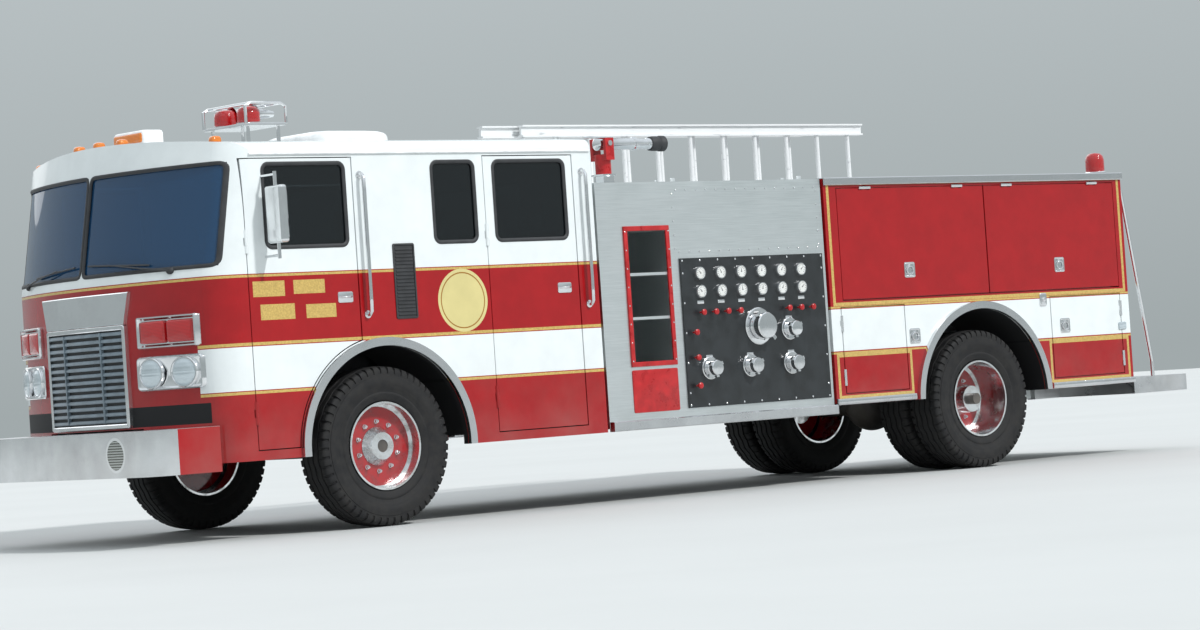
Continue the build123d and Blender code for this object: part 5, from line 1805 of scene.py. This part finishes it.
class StudioOperator(bpy.types.Operator):
    """Makes the floor, the lamps, the sky and the photograph's camera"""
    bl_idname = "pumper.studio"
    bl_label = "Studio"

    def execute(self, context):
        sizes = context.scene.pumper_studio
        self.make_floor(context, sizes)
        self.make_sky(context, sizes)
        for name, energy, turn, soft in LAMPS:
            lamp = bpy.data.lights.new(name, "SUN")
            lamp.energy = energy
            lamp.angle = soft
            holder = bpy.data.objects.new(name, lamp)
            holder.rotation_euler = turn
            context.collection.objects.link(holder)
        camera = bpy.data.cameras.new("camera")
        camera.sensor_width = SENSOR_WIDTH
        camera.lens = CAMERA_LENS
        camera.clip_end = 400
        holder = bpy.data.objects.new("camera", camera)
        turn = Matrix((CAMERA_RIGHT, CAMERA_UP, CAMERA_BACK)).transposed()
        holder.matrix_world = Matrix.Translation(CAMERA_PLACE) @ turn.to_4x4()
        context.collection.objects.link(holder)
        context.scene.camera = holder
        context.scene.view_settings.view_transform = "Standard"
        return {"FINISHED"}

    def make_floor(self, context, sizes):
        """A level floor just under the wheels, in a faintly clouded grey."""
        half = sizes.floor_half
        u, v = np.meshgrid(np.linspace(-1, 1, 3), np.linspace(-1, 1, 3), indexing="ij")
        points = np.stack([u * half, v * half, 0 * u - 0.001], axis=-1)
        index = np.arange(9).reshape(3, 3)
        corners = [index[:-1, :-1], index[1:, :-1], index[1:, 1:], index[:-1, 1:]]
        quads = np.stack(corners, axis=-1).reshape(-1, 4)
        mesh = bpy.data.meshes.new("floor")
        mesh.from_pydata(points.reshape(-1, 3).tolist(), [], quads.tolist())
        r = Recipe("floor_paint")
        cloud = r.ramp(r.noise(0.35, detail=5.0), 0.3, 0.7)
        r.give(Base_Color=r.mix(cloud, sizes.floor_colour, shade(sizes.floor_colour, 0.96)),
               Roughness=r.blend(cloud, 0.75, 0.85), Specular_IOR_Level=0.2)
        mesh.materials.append(r.material)
        floor = bpy.data.objects.new("floor", mesh)
        context.collection.objects.link(floor)

    def make_sky(self, context, sizes):
        """A sky whose colour depends on the height of the direction looked in."""
        world = bpy.data.worlds.new("studio_sky")
        world.use_nodes = True
        tree = world.node_tree
        back = tree.nodes["Background"]
        way = tree.nodes.new("ShaderNodeTexCoord").outputs["Generated"]
        split = tree.nodes.new("ShaderNodeSeparateXYZ")
        tree.links.new(way, split.inputs[0])
        tones = tree.nodes.new("ShaderNodeValToRGB")
        tree.links.new(split.outputs[2], tones.inputs[0])
        ramp = tones.color_ramp
        ramp.elements[1].position = SKY[2][0]
        ramp.elements.new(SKY[1][0])
        for element, (place, colour) in zip(ramp.elements, SKY):
            element.position = place
            element.color = colour
        tree.links.new(tones.outputs[0], back.inputs["Color"])
        back.inputs["Strength"].default_value = sizes.sky_strength
        context.scene.world = world


# ---------------------------------------------------------------- panel and run

class PumperPanel(bpy.types.Panel):
    """Lists the makers of the fire engine's finishes and pieces"""
    bl_idname = "VIEW3D_PT_pumper"
    bl_label = "Fire engine"
    bl_space_type = "VIEW_3D"
    bl_region_type = "UI"
    bl_category = "Fire engine"

    def draw(self, context):
        for operator in OPERATORS:
            self.layout.operator(operator.bl_idname)


GROUPS = {"pumper_colours": PaintColours, "pumper_tyres": TyreSizes, "pumper_trim": TrimSizes,
          "pumper_seats": SeatSizes, "pumper_studio": StudioSizes}
OPERATORS = [PaintOperator, BowOperator, TyresOperator, NutsOperator, SealsOperator, WipersOperator,
             MirrorGlassOperator, HandlesOperator, GaugesOperator, LabelsOperator, RivetsOperator,
             LampsOperator, RoofOperator, NoseOperator, LaddersOperator, DeckGunOperator,
             TrimOperator, FittingsOperator, SlatsOperator, LockersOperator, SeatsOperator,
             StudioOperator]


def register():
    for item in list(GROUPS.values()) + OPERATORS + [PumperPanel]:
        bpy.utils.register_class(item)
    for name, group in GROUPS.items():
        setattr(bpy.types.Scene, name, PointerProperty(type=group))


def unregister():
    for name in GROUPS:
        delattr(bpy.types.Scene, name)
    for item in reversed(list(GROUPS.values()) + OPERATORS + [PumperPanel]):
        bpy.utils.unregister_class(item)


def main():
    register()
    bpy.ops.pumper.paint()
    bpy.ops.pumper.bow()
    bpy.ops.pumper.tyres()
    bpy.ops.pumper.nuts()
    bpy.ops.pumper.seals()
    bpy.ops.pumper.wipers()
    bpy.ops.pumper.mirror_glass()
    bpy.ops.pumper.handles()
    bpy.ops.pumper.gauges()
    bpy.ops.pumper.labels()
    bpy.ops.pumper.rivets()
    bpy.ops.pumper.lamps()
    bpy.ops.pumper.roof()
    bpy.ops.pumper.nose()
    bpy.ops.pumper.ladders()
    bpy.ops.pumper.deck_gun()
    bpy.ops.pumper.trim_strips()
    bpy.ops.pumper.fittings()
    bpy.ops.pumper.slats()
    bpy.ops.pumper.lockers()
    bpy.ops.pumper.seats()
    bpy.ops.pumper.studio()


if __name__ == "__main__":
    main()
